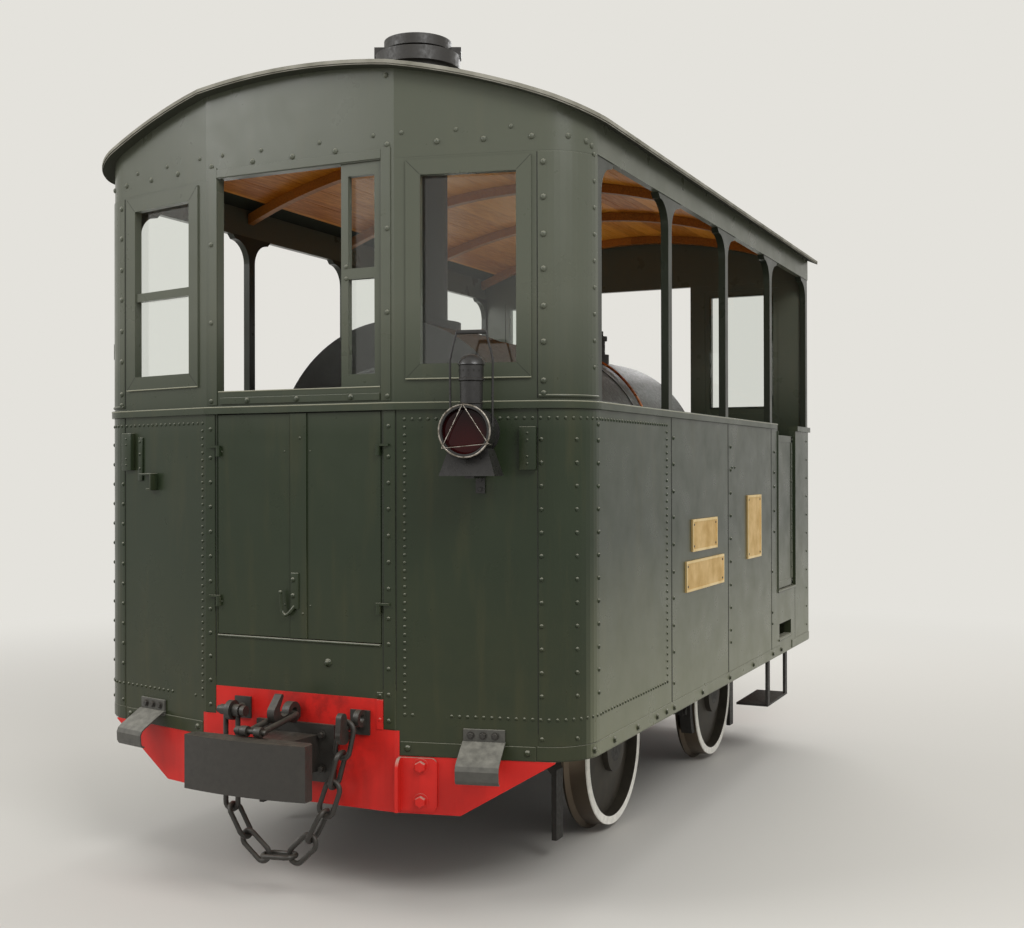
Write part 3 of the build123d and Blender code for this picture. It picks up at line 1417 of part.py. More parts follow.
chain_curve = halve(link_wire, sum(chain_runs), lambda curve: hang(curve, lowest(curve))[-1].X < foot_x)
chain_ends = hang(chain_curve, lowest(chain_curve))
with BuildPart() as side_chain:
    for number in range(chain_links):
        near_end = chain_ends[2 * number + 1]
        far_end = chain_ends[2 * number + 2]
        depth = Vector(0, 1, 0)
        link_across = (far_end - near_end).cross(depth) if number % 2 else depth
        link_plane = Plane(origin=(near_end + far_end) / 2, x_dir=far_end - near_end, z_dir=link_across)
        add(link_plane.location * chain_link.part)
side_chain.part.label = "side_chain"
export_step(side_chain.part, "parts/side_chain.step")

# Head lamp on the right slanted face: a drum with bands and a lens ring, a stack with its vent
# drum and dome, a flared foot on a wall bracket, and a handle.
lamp_u = 329
lamp_z = rail_top + 1728
lamp_radius = 80
lens_radius = 92
lamp_back = 62
lamp_front = 228
lens_depth = 24
foot_bottom = 156
handle_half = 76
handle_top = 352
dome_rim = 47
dome_rise = 31
dome_top = 273
dome_radius = (dome_rim**2 + dome_rise**2) / (2 * dome_rise)
dome_turn = asin(dome_rim / dome_radius) / 2
lamp_plane = facet_plane(1)
lamp_middle = (lamp_back + lamp_front) / 2
stack_spot = lamp_plane.from_local_coords((lamp_u, 0, lamp_middle))
with BuildPart() as head_lamp:
    for low, high, radius in (
        (lamp_back, lamp_front + 8, lamp_radius),
        (lamp_back, lamp_back + 10, lamp_radius + 5),
        (lamp_front - 44, lamp_front - 36, lamp_radius + 4),
        (lamp_front - 24, lamp_front - 16, lamp_radius + 4),
    ):
        with BuildSketch(lamp_plane.offset(low)):
            with Locations((lamp_u, lamp_z)):
                Circle(radius)
        extrude(amount=high - low)
    with BuildSketch(lamp_plane.offset(lamp_front)):
        with Locations((lamp_u, lamp_z)):
            Circle(lens_radius)
            Circle(lens_radius - 11, mode=Mode.SUBTRACT)
    extrude(amount=lens_depth)
    with BuildSketch(lamp_plane.offset(lamp_front)):
        with Locations((lamp_u, lamp_z)):
            Circle(lens_radius)
    extrude(amount=6)
    with BuildSketch(Plane(origin=(stack_spot.X, stack_spot.Y, lamp_z), x_dir=(1, 0, 0), z_dir=(0, -1, 0))):
        with BuildLine():
            Polyline(
                (0, 40), (40, 40), (40, 96), (44, 99), (40, 102), (41, 176), (48, 180), (48, 186),
                (44, 189), (44, 233), (49, 236), (dome_rim, dome_top - dome_rise),
            )
            ThreePointArc(
                (dome_rim, dome_top - dome_rise),
                (dome_radius * sin(dome_turn), dome_top - dome_radius * (1 - cos(dome_turn))),
                (0, dome_top),
            )
            Line((0, dome_top), (0, 40))
        make_face()
    revolve(axis=Axis((stack_spot.X, stack_spot.Y, 0), (0, 0, 1)))
    for height, width, depth in ((foot_bottom, 200, 150), (60, 140, 104)):
        with BuildSketch(
            Plane(
                origin=(stack_spot.X, stack_spot.Y, lamp_z - height), x_dir=(bend_cos, bend_sin, 0), z_dir=(0, 0, 1)
            )
        ):
            Rectangle(width, depth)
    loft()
    with BuildSketch(lamp_plane.offset(fit_gap)):
        with Locations((lamp_u, lamp_z - foot_bottom - 2)):
            Rectangle(34, 124)
    extrude(amount=12)
    with BuildSketch(lamp_plane.offset(fit_gap)):
        with Locations((lamp_u, lamp_z - foot_bottom - 4)):
            Rectangle(34, 10)
    extrude(amount=lamp_middle + 30)
    handle = [
        lamp_plane.from_local_coords((lamp_u + turned * across, lamp_z + height, lamp_middle))
        for turned, points in (
            (1, ((handle_half, 16), (handle_half + 2, 256), (handle_half - 22, handle_top))),
            (-1, ((handle_half - 22, handle_top), (handle_half + 2, 256), (handle_half, 16))),
        )
        for across, height in points
    ]
    for number in range(len(handle) - 1):
        start = handle[number]
        finish = handle[number + 1]
        radius = 8 if number == 2 else 4
        with BuildSketch(Plane(origin=start, z_dir=finish - start)):
            Circle(radius)
        extrude(amount=(finish - start).length)
head_lamp.part.label = "head_lamp"
export_step(head_lamp.part, "parts/head_lamp.step")

# Footsteps on the front skirt: a wall plate with round corners, a tread and its rolled edge.
step_near = 262
step_far = 418
step_z = rail_top + 596
step_reach = 130
step_thickness = 9
step_plate_height = 66
step_roll = 9
with BuildPart() as footsteps:
    for side, side_name in both_sides:
        step_middle = side * (step_near + step_far) / 2
        with BuildSketch(facet_plane(side).offset(fit_gap)):
            with Locations((step_middle, step_z + step_plate_height / 2 - 6)):
                RectangleRounded(step_far - step_near, step_plate_height, 16)
            with Locations((step_middle, step_z + 4)):
                Rectangle(step_far - step_near, 20)
        extrude(amount=step_thickness)
        with BuildSketch(facet_plane(side).offset(fit_gap)):
            with Locations((step_middle, step_z)):
                Rectangle(step_far - step_near, step_thickness)
        extrude(amount=step_reach - step_roll)
        edge = facet_plane(side).offset(step_reach - step_roll)
        edge_start = edge.from_local_coords((step_middle - (step_far - step_near) / 2, step_z - 4))
        edge_finish = edge.from_local_coords((step_middle + (step_far - step_near) / 2, step_z - 4))
        with BuildSketch(Plane(origin=edge_start, z_dir=edge_finish - edge_start)):
            Circle(step_roll)
        extrude(amount=step_far - step_near)
footsteps.part.label = "footsteps"
export_step(footsteps.part, "parts/footsteps.step")

# Door steps: two hanger bars under each side doorway, with a tread between them.
hanger_front = side_door_front - 52
hanger_rear = side_door_rear - 80
hanger_bottom = rail_top + 265
with BuildPart() as door_steps:
    for side, side_name in both_sides:
        with BuildSketch(Plane.YZ.offset(side * (half_width - wall - fit_gap))):
            for hanger_y in (hanger_front, hanger_rear):
                with Locations((front_y + hanger_y, (hanger_bottom + skirt_bottom + 60) / 2)):
                    Rectangle(50, skirt_bottom + 60 - hanger_bottom)
        extrude(amount=-side * 14)
        with BuildSketch(Plane.XY.offset(hanger_bottom)):
            with Locations((side * (half_width - wall - 90), front_y + (hanger_front + hanger_rear) / 2)):
                Rectangle(180, hanger_rear - hanger_front + 50)
        extrude(amount=12)
door_steps.part.label = "door_steps"
export_step(door_steps.part, "parts/door_steps.step")

# Guard irons just above the rails, in front of the first wheels and behind the last.
iron_x = tyre_inner_x + 45
iron_offset = 530
iron_bottom = rail_top + 60
iron_top = rail_top + 560
with BuildPart() as guard_irons:
    for end, axle_y in ((-1, front_axle_y), (1, rear_axle_y)):
        for side, side_name in both_sides:
            iron_y = axle_y + end * iron_offset
            with BuildSketch(Plane.XZ.offset(-iron_y + 35)):
                with BuildLine():
                    Polyline(
                        (side * (frame_inner_x + frame_thickness + fit_gap), iron_top),
                        (side * (frame_inner_x + frame_thickness + fit_gap), iron_top - 130),
                        (side * iron_x, iron_top - 230),
                        (side * iron_x, iron_bottom),
                        (side * (iron_x + 22), iron_bottom),
                        (side * (iron_x + 22), iron_top - 210),
                        (side * (frame_inner_x + frame_thickness + 22), iron_top - 110),
                        (side * (frame_inner_x + frame_thickness + 22), iron_top),
                        (side * (frame_inner_x + frame_thickness + fit_gap), iron_top),
                    )
                make_face()
            extrude(amount=-70)
guard_irons.part.label = "guard_irons"
export_step(guard_irons.part, "parts/guard_irons.step")

# Blank brass plates on the right and left lower panels: from y, to y, from z, to z.
plate_thickness = 6
plates = (
    (1452, 1840, 1222, 1367),
    (1357, 1952, 1047, 1184),
    (2400, 2670, 1129, 1457),
)
with BuildPart() as brass_plates:
    for side, side_name in both_sides:
        for plate_front, plate_rear, plate_low, plate_high in plates:
            with BuildSketch(Plane.YZ.offset(side * (half_width + fit_gap))):
                with Locations(
                    (front_y + (plate_front + plate_rear) / 2, rail_top + (plate_low + plate_high) / 2)
                ):
                    Rectangle(plate_rear - plate_front, plate_high - plate_low)
            extrude(amount=side * plate_thickness)
brass_plates.part.label = "brass_plates"
export_step(brass_plates.part, "parts/brass_plates.step")

# Cab fittings: safety valve on the firebox, and the brake column on the rear platform.
valve_x = 150
valve_y = front_y + 2780
valve_radius = 62
valve_z = boiler_z + sqrt(boiler_radius**2 - (valve_x + 70) ** 2)
column_x = 450
column_y = rear_y - 235
with BuildPart() as cab_fittings:
    for low, high, radius in ((0, 60, valve_radius), (60, 140, 40), (140, 165, 52), (165, 195, 30)):
        with BuildSketch(Plane.XY.offset(valve_z + low)):
            with Locations((valve_x, valve_y)):
                Circle(radius)
        extrude(amount=high - low)
    with BuildSketch(Plane.XZ.offset(-front_y - barrel_rear)):
        with Locations((0, boiler_z)):
            Circle(boiler_radius + fit_gap)
    extrude(amount=-(firebox_rear - barrel_rear), mode=Mode.SUBTRACT)
    for low, high, radius in ((0, 20, 90), (20, 850, 24), (850, 880, 30)):
        with BuildSketch(Plane.XY.offset(floor_top + fit_gap + low)):
            with Locations((-column_x, column_y)):
                Circle(radius)
        extrude(amount=high - low)
    with BuildSketch(Plane.XY.offset(floor_top + 875)):
        with Locations((-column_x, column_y)):
            Circle(120)
            Circle(102, mode=Mode.SUBTRACT)
            Rectangle(220, 18)
    extrude(amount=16)
cab_fittings.part.label = "cab_fittings"
export_step(cab_fittings.part, "parts/cab_fittings.step")

# Copper pipe from the safety valve down the right flank of the boiler.
pipe_radius = 7
union_radius = 12
pipe_ring = boiler_radius + 15


def on_flank(angle, distance):
    """Point on the pipe's ring round the boiler, this far from the top and from the front."""
    turn = radians(angle)
    return Vector(pipe_ring * sin(turn), front_y + distance, boiler_z + pipe_ring * cos(turn))


with BuildPart() as copper_pipe:
    pipe_points = (on_flank(23, 2530), on_flank(50, 2452), on_flank(84, 2420))
    valve_middle = Vector(valve_x, valve_y, valve_z + 30)
    pipe_start = valve_middle + (pipe_points[0] - valve_middle).normalized() * (valve_radius + 2)
    with BuildSketch(Plane(origin=pipe_start, z_dir=pipe_points[0] - pipe_start)):
        Circle(pipe_radius)
    extrude(amount=(pipe_points[0] - pipe_start).length)
    with Locations(pipe_points[0]):
        Sphere(union_radius)
    with BuildLine() as pipe_line:
        ThreePointArc(*pipe_points)
    with BuildSketch(Plane(origin=pipe_points[0], z_dir=pipe_line.edge() % 0)):
        Circle(pipe_radius)
    sweep(path=pipe_line.wire())
copper_pipe.part.label = "copper_pipe"
export_step(copper_pipe.part, "parts/copper_pipe.step")
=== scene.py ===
# %% [markdown]
# # A small steam tram locomotive
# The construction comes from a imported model, and this notebook gives it its finish. Each step says
# what a piece is on the real machine, and how and why it is made in Blender this way.
# Everything is in metres, with the front towards -Y and the ground at z = 0.

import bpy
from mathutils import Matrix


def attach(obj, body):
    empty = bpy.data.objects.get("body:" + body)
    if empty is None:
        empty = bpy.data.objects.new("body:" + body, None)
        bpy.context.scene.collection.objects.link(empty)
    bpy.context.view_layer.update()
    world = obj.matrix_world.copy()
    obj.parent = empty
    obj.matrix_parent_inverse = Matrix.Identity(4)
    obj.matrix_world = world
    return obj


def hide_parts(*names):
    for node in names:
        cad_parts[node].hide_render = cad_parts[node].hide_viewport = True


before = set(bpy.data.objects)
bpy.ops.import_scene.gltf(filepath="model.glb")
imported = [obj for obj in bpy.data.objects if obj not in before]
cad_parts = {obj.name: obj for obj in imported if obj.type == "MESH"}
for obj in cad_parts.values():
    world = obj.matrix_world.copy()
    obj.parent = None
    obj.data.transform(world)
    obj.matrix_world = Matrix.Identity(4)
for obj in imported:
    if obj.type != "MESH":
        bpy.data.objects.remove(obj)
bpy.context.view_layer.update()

# %% Other modules
from math import asin, cos, pi, radians, sin, sqrt

import bmesh
import bpy
from mathutils import Matrix, Vector

# %% [markdown]
# The body is a box with a three-sided front. A few sizes of its plan are enough to place every
# rivet, strip and bead on the skin, so they are named once here and the rest is worked out.

# %% Sizes of the body
MM = 0.001
half_width = 1117 * MM
body_length = 3855 * MM
front_y = -body_length / 2
rear_y = body_length / 2
centre_half = 432 * MM
facet_angle = radians(13.24)
corner_radius = 189 * MM
facet_length = (half_width - centre_half - corner_radius * (1 - sin(facet_angle))) / cos(facet_angle)
corner_x = half_width - corner_radius
corner_y = front_y + facet_length * sin(facet_angle) + corner_radius * cos(facet_angle)
arc_length = corner_radius * (pi / 2 - facet_angle)
rail_top = 26 * MM
wheel_z = rail_top + 338 * MM
axle_y = (front_y + 1339 * MM, front_y + 2901 * MM)
print("corner starts at y", round(corner_y, 4), "and the facet is", round(facet_length, 4))

# %% [markdown]
# The camera stands where the photographer stood, a little above the waist of the cab and to its
# right. Its place, turn and lens were worked out from the edges of the body. An object shows only
# once it is linked to the scene's collection, so one function does both.

# %% Camera


def put(name, data):
    """A new object in the scene for this mesh, curve, lamp or camera."""
    made = bpy.data.objects.new(name, data)
    bpy.context.scene.collection.objects.link(made)
    return made


image_width = 1024
focal_pixels = 1284.9
camera_place = Vector((2.8481, -6.0326, 1.6238))
camera_yaw = 0.4406
camera_pitch = 0.00351
camera_roll = -0.00201
camera_data = bpy.data.cameras.new("camera")
camera_data.sensor_width = 36
camera_data.lens = focal_pixels * camera_data.sensor_width / image_width
camera = put("camera", camera_data)
camera.matrix_world = (
    Matrix.Translation(camera_place)
    @ Matrix.Rotation(camera_yaw, 4, "Z")
    @ Matrix.Rotation(pi / 2 + camera_pitch, 4, "X")
    @ Matrix.Rotation(camera_roll, 4, "Z")
)
bpy.context.scene.camera = camera
print("the camera's lens is", round(camera_data.lens, 2), "mm")

# %% [markdown]
# Colours are written as sRGB hex values, as a painter would match them, and one function turns
# them into the linear values that the shader works with. The others add one node, or the few that
# most finishes need: noise, a fade, a mix of two colours, and a bump.

# %% Colour and node helpers


def linear(code):
    """The linear colour of an sRGB hex value."""
    parts = [int(code[i:i + 2], 16) / 255 for i in (1, 3, 5)]
    return tuple(c / 12.92 if c <= 0.04045 else ((c + 0.055) / 1.055) ** 2.4 for c in parts) + (1.0,)


def fill(socket, value):
    """Set a socket to a value, or to the colour of a hex code."""
    socket.default_value = linear(value) if isinstance(value, str) else value


def add(tree, kind, inputs=None, **settings):
    """Add a shader node, set its properties, and set or link its inputs."""
    made = tree.nodes.new("ShaderNode" + kind)
    for name, value in settings.items():
        setattr(made, name, value)
    for name, value in (inputs or {}).items():
        if isinstance(value, bpy.types.NodeSocket):
            tree.links.new(value, made.inputs[name])
        else:
            fill(made.inputs[name], value)
    return made


def maths(tree, operation, first, second=0.0):
    """A sum with one or two values."""
    return add(tree, "Math", {0: first, 1: second}, operation=operation).outputs[0]


def split(tree, vector):
    """The X, Y and Z of a vector."""
    return add(tree, "SeparateXYZ", {0: vector}).outputs


def facing(tree):
    """The X, Y and Z of the way that the surface faces."""
    return split(tree, add(tree, "NewGeometry").outputs["Normal"])


def apart(tree, where, spot):
    """How far a point is from a spot."""
    return add(tree, "VectorMath", {0: where, 1: spot}, operation="DISTANCE").outputs["Value"]


def surface(name, **sockets):
    """A new material with its shader's sockets set, and its node tree."""
    material = bpy.data.materials.new(name)
    material.use_nodes = True
    shader = material.node_tree.nodes["Principled BSDF"]
    for socket, value in sockets.items():
        fill(shader.inputs[socket.replace("_", " ")], value)
    material.diffuse_color = shader.inputs["Base Color"].default_value
    return material, material.node_tree


def feed(tree, **sockets):
    """Link values to the shader's sockets."""
    for socket, value in sockets.items():
        tree.links.new(value, tree.nodes["Principled BSDF"].inputs[socket.replace("_", " ")])


def place(tree, scale=(1, 1, 1)):
    """Object coordinates, stretched along an axis where the pattern is."""
    coordinates = add(tree, "TexCoord")
    stretched = add(tree, "Mapping", {"Vector": coordinates.outputs["Object"], "Scale": scale})
    return stretched.outputs[0]


def cloud(tree, where, size, detail=3, rough=0.55):
    """Noise whose features are about this size, in metres."""
    settings = {"Vector": where, "Scale": 1 / size, "Detail": detail, "Roughness": rough}
    return add(tree, "TexNoise", settings).outputs["Fac"]


def fade(tree, value, low, high, start=0.0, end=1.0):
    """The value spread from low..high to start..end."""
    inputs = {"Value": value, "From Min": low, "From Max": high, "To Min": start, "To Max": end}
    return add(tree, "MapRange", inputs).outputs[0]


def blend_colours(tree, share, first, second):
    """Two colours mixed by a share."""
    return add(tree, "Mix", {0: share, 6: first, 7: second}, data_type="RGBA").outputs[2]


def dent(tree, height, distance):
    """Bump of this height in metres, on top of any bump that the shader has."""
    bump = add(tree, "Bump", {"Height": height, "Distance": distance})
    normal = tree.nodes["Principled BSDF"].inputs["Normal"]
    if normal.is_linked:
        tree.links.new(normal.links[0].from_socket, bump.inputs["Normal"])
    feed(tree, Normal=bump.outputs[0])


# %% [markdown]
# **Green oil paint on sheet steel.** The cab is sheet steel under many coats of brushed oil paint,
# now satin. It needs slow changes of colour, faint vertical streaks where water has run, a fine
# brush texture, and the slight waves that riveted sheet always has.

# %% Green paint


def brushed_oil_paint(name, dark, light, grime, pale, upper_light_share=0.6, floor_reflection_share=0.5, rough=0.3):
    """Old oil paint: two tones, run marks, dirt low down, a painted highlight above, a painted floor
    reflection low on the sides, dust and a painted highlight on what faces up, brush marks.
    """
    material, tree = surface(name, Base_Color=dark, Specular_IOR_Level=0.3)
    still = place(tree)
    runs = place(tree, (1, 1, 0.12))
    tone = blend_colours(tree, cloud(tree, still, 600 * MM), dark, light)
    run_marks = fade(tree, cloud(tree, runs, 60 * MM, 4), 0.52, 0.85, 0, 0.35)
    streaked = blend_colours(tree, run_marks, tone, grime)
    height = split(tree, still)["Z"]
    low_down = fade(tree, height, 560 * MM, 1300 * MM, 0.45, 0.0)
    patchy = maths(tree, "MULTIPLY", low_down, cloud(tree, still, 110 * MM, 5))
    soiled = blend_colours(tree, patchy, streaked, grime)
    # Painted light: the paint turns paler upwards, as the upper wall catches more light from above.
    upper_light = fade(tree, height, 1750 * MM, 2250 * MM, 0.0, upper_light_share)
    lit_above = blend_colours(tree, upper_light, soiled, pale)
    way = facing(tree)
    # Painted reflection: the sides turn paler low down, where their gloss would mirror the pale floor.
    flank = fade(tree, maths(tree, "ABSOLUTE", way["X"]), 0.9, 1.0)
    reflection_low_down = maths(tree, "MULTIPLY", flank, fade(tree, height, 600 * MM, 1350 * MM, floor_reflection_share, 0.0))
    with_reflection = blend_colours(tree, reflection_low_down, lit_above, "#8f9178")
    # What faces up turns pale: partly dust, and partly a painted highlight on the lit top edges.
    dust_and_highlight = blend_colours(tree, fade(tree, way["Z"], 0.3, 0.9, 0.0, 0.75), with_reflection, "#a3a191")
    satin = fade(tree, cloud(tree, still, 160 * MM, 4), 0.3, 0.7, rough - 0.05, rough + 0.08)
    feed(tree, Base_Color=dust_and_highlight, Roughness=satin)
    dent(tree, cloud(tree, still, 420 * MM, 1), 2.4 * MM)
    dent(tree, cloud(tree, runs, 12 * MM, 1), 0.04 * MM)
    return material


green_paint = brushed_oil_paint("green_oil_paint", "#20291b", "#2a3322", "#48442a", "#64665a")
# A pale copy of the green, for the thin beads that stand for lit top edges: painted highlight.
highlight_green = brushed_oil_paint("painted_highlight_oil_paint", "#6f7160", "#83836f", "#55533f", "#9a9a86")
# A darker copy of the green, for the posts and tanks that stand in shade: painted shade.
shade_painted_green = brushed_oil_paint("painted_shade_oil_paint", "#1d2019", "#262a20", "#3a3626", "#262a20")
red_paint = brushed_oil_paint("red_oil_paint", "#cb1d17", "#dc281f", "#6f1712", "#cf231b", 0.0, 0.0, 0.42)

# %% Grease on the red paint round the hook
tree = red_paint.node_tree
still = place(tree)
hook_place = (0.1, front_y - 50 * MM, rail_top + 600 * MM)
smudge = fade(tree, apart(tree, still, hook_place), 80 * MM, 330 * MM, 1.0, 0.0)
smear = fade(tree, cloud(tree, still, 90 * MM, 5, 0.65), 0.42, 0.68, 0.0, 0.75)
clean_red = tree.nodes["Principled BSDF"].inputs["Base Color"].links[0].from_socket
greasy = maths(tree, "MULTIPLY", smudge, smear)
feed(tree, Base_Color=blend_colours(tree, greasy, clean_red, "#2c1410"))
print("materials so far:", len(bpy.data.materials))

# %% [markdown]
# **Black iron.** Buffers, hook, chain and frames are forged or cast iron under grease and dust. The
# grease keeps them almost black, and the dust gives the tops a brown-grey cast.

# %% Iron


def greasy_iron(name, dark, dust, rough=0.46, grain=3.0):
    """Forged iron with grease, dust on what faces up, and a hammered surface."""
    material, tree = surface(name, Base_Color=dark, Specular_IOR_Level=0.5)
    still = place(tree)
    settled = fade(tree, facing(tree)["Z"], 0.2, 1.0, 0.12, 0.75)
    spotty = maths(tree, "MULTIPLY", settled, cloud(tree, still, 30 * MM, 6))
    uneven = fade(tree, cloud(tree, still, 16 * MM, 4), 0.3, 0.7, rough - 0.1, rough + 0.14)
    colour = blend_colours(tree, spotty, dark, dust)
    feed(tree, Base_Color=colour, Roughness=uneven)
    dent(tree, cloud(tree, still, grain * MM, 3), 0.35 * MM)
    return material


black_iron = greasy_iron("greasy_forged_iron", "#24221f", "#6d665a")
frame_iron = greasy_iron("dusty_frame_iron", "#1d1b18", "#4b4438", 0.6)
boiler_paint = greasy_iron("boiler_cladding_paint", "#2f2e2b", "#56534c", 0.42, 9.0)
chimney_paint = greasy_iron("chimney_black", "#23211f", "#5c564c", 0.5)
worn_tread = greasy_iron("worn_step_iron", "#33322e", "#b4b1a4", 0.42, 2.0)
# Near-black grime, which also serves as painted shade: the shadow lines beside proud strips and plates, and
# the dark vent holes of the lamp.
grime_and_painted_shade = greasy_iron("grime_and_painted_shade", "#14150f", "#28261d", 0.75)
lamp_black = greasy_iron("lamp_japan_black", "#1b1a1a", "#4d4a45", 0.32, 2.0)
print("materials so far:", len(bpy.data.materials))

# %% [markdown]
# **Wheels.** A railway wheel is polished only where it meets the rail. The web is grimy dark paint,
# and the face of the tyre has a band of white lime paint. The band is a ring about the axle, so it
# is painted by the distance from the axle, which stays right when the wheel turns.

# %% Wheels
band_radius = 301 * MM
tread_start = 333 * MM
tyre_face = 781 * MM
tread_edge = 784 * MM


def limewashed_wheel(name, axle):
    """Dark web, white band on the tyre's face and bright tread, by the distance from the axle."""
    material, tree = surface(name, Base_Color="#2b2822")
    still = place(tree)
    parts = split(tree, still)
    flat = add(tree, "CombineXYZ", {"X": 0.0, "Y": parts["Y"], "Z": parts["Z"]}).outputs[0]
    away = apart(tree, flat, (0.0, axle, wheel_z))
    outward = maths(tree, "ABSOLUTE", parts["X"])
    band = maths(tree, "GREATER_THAN", away, band_radius)
    white = maths(tree, "MULTIPLY", band, maths(tree, "GREATER_THAN", outward, tyre_face))
    worn = fade(tree, cloud(tree, still, 28 * MM, 6), 0.36, 0.62, 1.0, 0.85)
    grime = blend_colours(tree, cloud(tree, still, 70 * MM, 5), "#211f1a", "#453f33")
    coloured = blend_colours(tree, maths(tree, "MULTIPLY", white, worn), grime, "#fbf8ee")
    tread = maths(tree, "GREATER_THAN", away, tread_start)
    steel = maths(tree, "MULTIPLY", tread, maths(tree, "LESS_THAN", outward, tread_edge))
    feed(
        tree, Base_Color=blend_colours(tree, steel, coloured, "#655a4d"),
        Metallic=fade(tree, steel, 0, 1, 0.0, 0.85), Roughness=fade(tree, steel, 0, 1, 0.62, 0.34),
    )
    dent(tree, cloud(tree, still, 5 * MM, 3), 0.3 * MM)
    return material


wheel_paint = [limewashed_wheel(f"limewashed_wheel_{end}", y) for end, y in zip(("front", "rear"), axle_y)]
print("materials so far:", len(bpy.data.materials))

# %% [markdown]
# **Varnished pine.** The ceiling is narrow boards that run fore and aft, with orange old varnish.
# The grain is long along Y, and each board has its own tone, taken from its place across the arch.

# %% Ceiling wood


def varnished_pine(name, pale, deep, board):
    """Pine boards with long grain and orange varnish."""
    material, tree = surface(name, Base_Color=pale, Specular_IOR_Level=0.25)
    still = place(tree)
    along = place(tree, (1, 0.06, 1))
    number = maths(tree, "FLOOR", maths(tree, "DIVIDE", split(tree, still)["X"], board))
    tone = add(tree, "TexWhiteNoise", {"W": number}, noise_dimensions="1D").outputs["Value"]
    grain = cloud(tree, along, 9 * MM, 6, 0.7)
    share = fade(tree, maths(tree, "ADD", grain, fade(tree, tone, 0, 1, -0.22, 0.22)), 0.3, 0.75)
    feed(
        tree, Base_Color=blend_colours(tree, share, pale, deep),
        Roughness=fade(tree, grain, 0.3, 0.7, 0.3, 0.45),
    )
    dent(tree, grain, 0.4 * MM)
    return material


board_width = 121 * MM
one_piece = 4000 * MM
ceiling_pine = varnished_pine("varnished_pine", "#f5a238", "#bd6a17", board_width)
rib_wood = varnished_pine("varnished_rib", "#b4702c", "#74441a", one_piece)
print("the ceiling's boards are", round(board_width, 3), "m wide")

# %% [markdown]
# **Roof canvas.** The roof boards are covered with canvas and grey paint, dusty and uneven, with
# its weave still just visible. What faces down has kept its dark paint.

# %% Roof canvas


def painted_canvas(name, pale, dirt):
    """Canvas under old paint: blotches of dirt, the weave, soft wrinkles, and dark paint below."""
    material, tree = surface(name, Base_Color=pale, Roughness=0.85, Specular_IOR_Level=0.25)
    still = place(tree)
    share = fade(tree, cloud(tree, still, 140 * MM, 6), 0.35, 0.7)
    top = blend_colours(tree, share, pale, dirt)
    above = fade(tree, facing(tree)["Z"], -0.7, -0.3)
    feed(tree, Base_Color=blend_colours(tree, above, "#33352b", top))
    dent(tree, cloud(tree, still, 3 * MM, 2), 0.4 * MM)
    dent(tree, cloud(tree, still, 60 * MM, 3), 2 * MM)
    return material


canvas_paint = painted_canvas("painted_roof_canvas", "#97948a", "#6a665a")
canvas_edge = painted_canvas("dusty_roof_hem", "#98958a", "#6a685c")
print("materials so far:", len(bpy.data.materials))

# %% [markdown]
# **Metals and glass.** Brass that is cleaned by hand stays bright on its rims and goes dull between
# them, and copper and steel do so in smaller patches. The lamp's glass is a dark ruby, deeper above,
# where the hood shades it.

# %% Brass, copper, steel and glass


def worn_metal(name, bright, dull, size, rough):
    """Bare metal that has gone dull in patches."""
    material, tree = surface(name, Base_Color=bright, Metallic=1.0)
    still = place(tree)
    patch = fade(tree, cloud(tree, still, size, 5), 0.38, 0.66)
    feed(
        tree, Base_Color=blend_colours(tree, patch, bright, dull),
        Roughness=fade(tree, patch, 0, 1, rough, rough + 0.22),
    )
    dent(tree, cloud(tree, still, 2 * MM, 3), 0.1 * MM)
    return material


cast_brass = worn_metal("cast_brass", "#dcbe86", "#c3a46c", 140 * MM, 0.5)
rubbed_brass = worn_metal("rubbed_brass", "#ecd6a6", "#dcc28c", 140 * MM, 0.42)
copper = worn_metal("copper_tube", "#d98a5c", "#8c5233", 40 * MM, 0.26)
bright_steel = worn_metal("worn_steel", "#a8a29a", "#5e574c", 20 * MM, 0.38)
window_glass = surface(
    "window_glass", Base_Color="#eef2ef", Roughness=0.0, Transmission_Weight=1.0, IOR=1.45
)[0]
ruby_glass, tree = surface("ruby_glass", Base_Color="#3a0a0c", Roughness=0.06, Specular_IOR_Level=0.2)
shade = fade(tree, split(tree, place(tree))["Z"], rail_top + 1650 * MM, rail_top + 1790 * MM)
feed(tree, Base_Color=blend_colours(tree, shade, "#34080a", "#120304"))
print("materials so far:", len(bpy.data.materials))

# %% [markdown]
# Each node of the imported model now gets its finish. A node's shape is right as it is, so only its
# material slots change.

# %% Finish of every node
finish = {
    green_paint: (
        "front_apron", "front_panel_left", "front_panel_right", "front_door_left", "front_door_right",
        "side_panel_left", "side_panel_right", "side_door_left", "side_door_right", "rear_panel",
        "waist_rail", "front_window_walls", "rear_window_walls", "front_arch", "letterboards",
        "window_sashes",
    ),
    shade_painted_green: ("posts", "front_tanks"),
    red_paint: ("front_beam", "rear_beam"),
    black_iron: ("buffers", "draw_gear", "side_chain", "coupling_shackle"),
    worn_tread: ("footsteps",),
    copper: ("copper_pipe",),
    frame_iron: (
        "frame_plates", "cylinder_block", "axleboxes", "brake_gear", "floor_plate", "door_steps",
        "guard_irons", "cab_fittings", "axle_front", "axle_rear", "coupling_rod_left",
        "coupling_rod_right",
    ),
    boiler_paint: ("smokebox", "boiler", "firebox"),
    chimney_paint: ("chimney",),
    wheel_paint[0]: ("wheels_front",),
    wheel_paint[1]: ("wheels_rear",),
    ceiling_pine: ("ceiling_planks",),
    rib_wood: ("roof_ribs",),
    canvas_paint: ("roof_sheet",),
    cast_brass: ("brass_plates",),
    window_glass: ("window_glass",),
    lamp_black: ("head_lamp",),
}
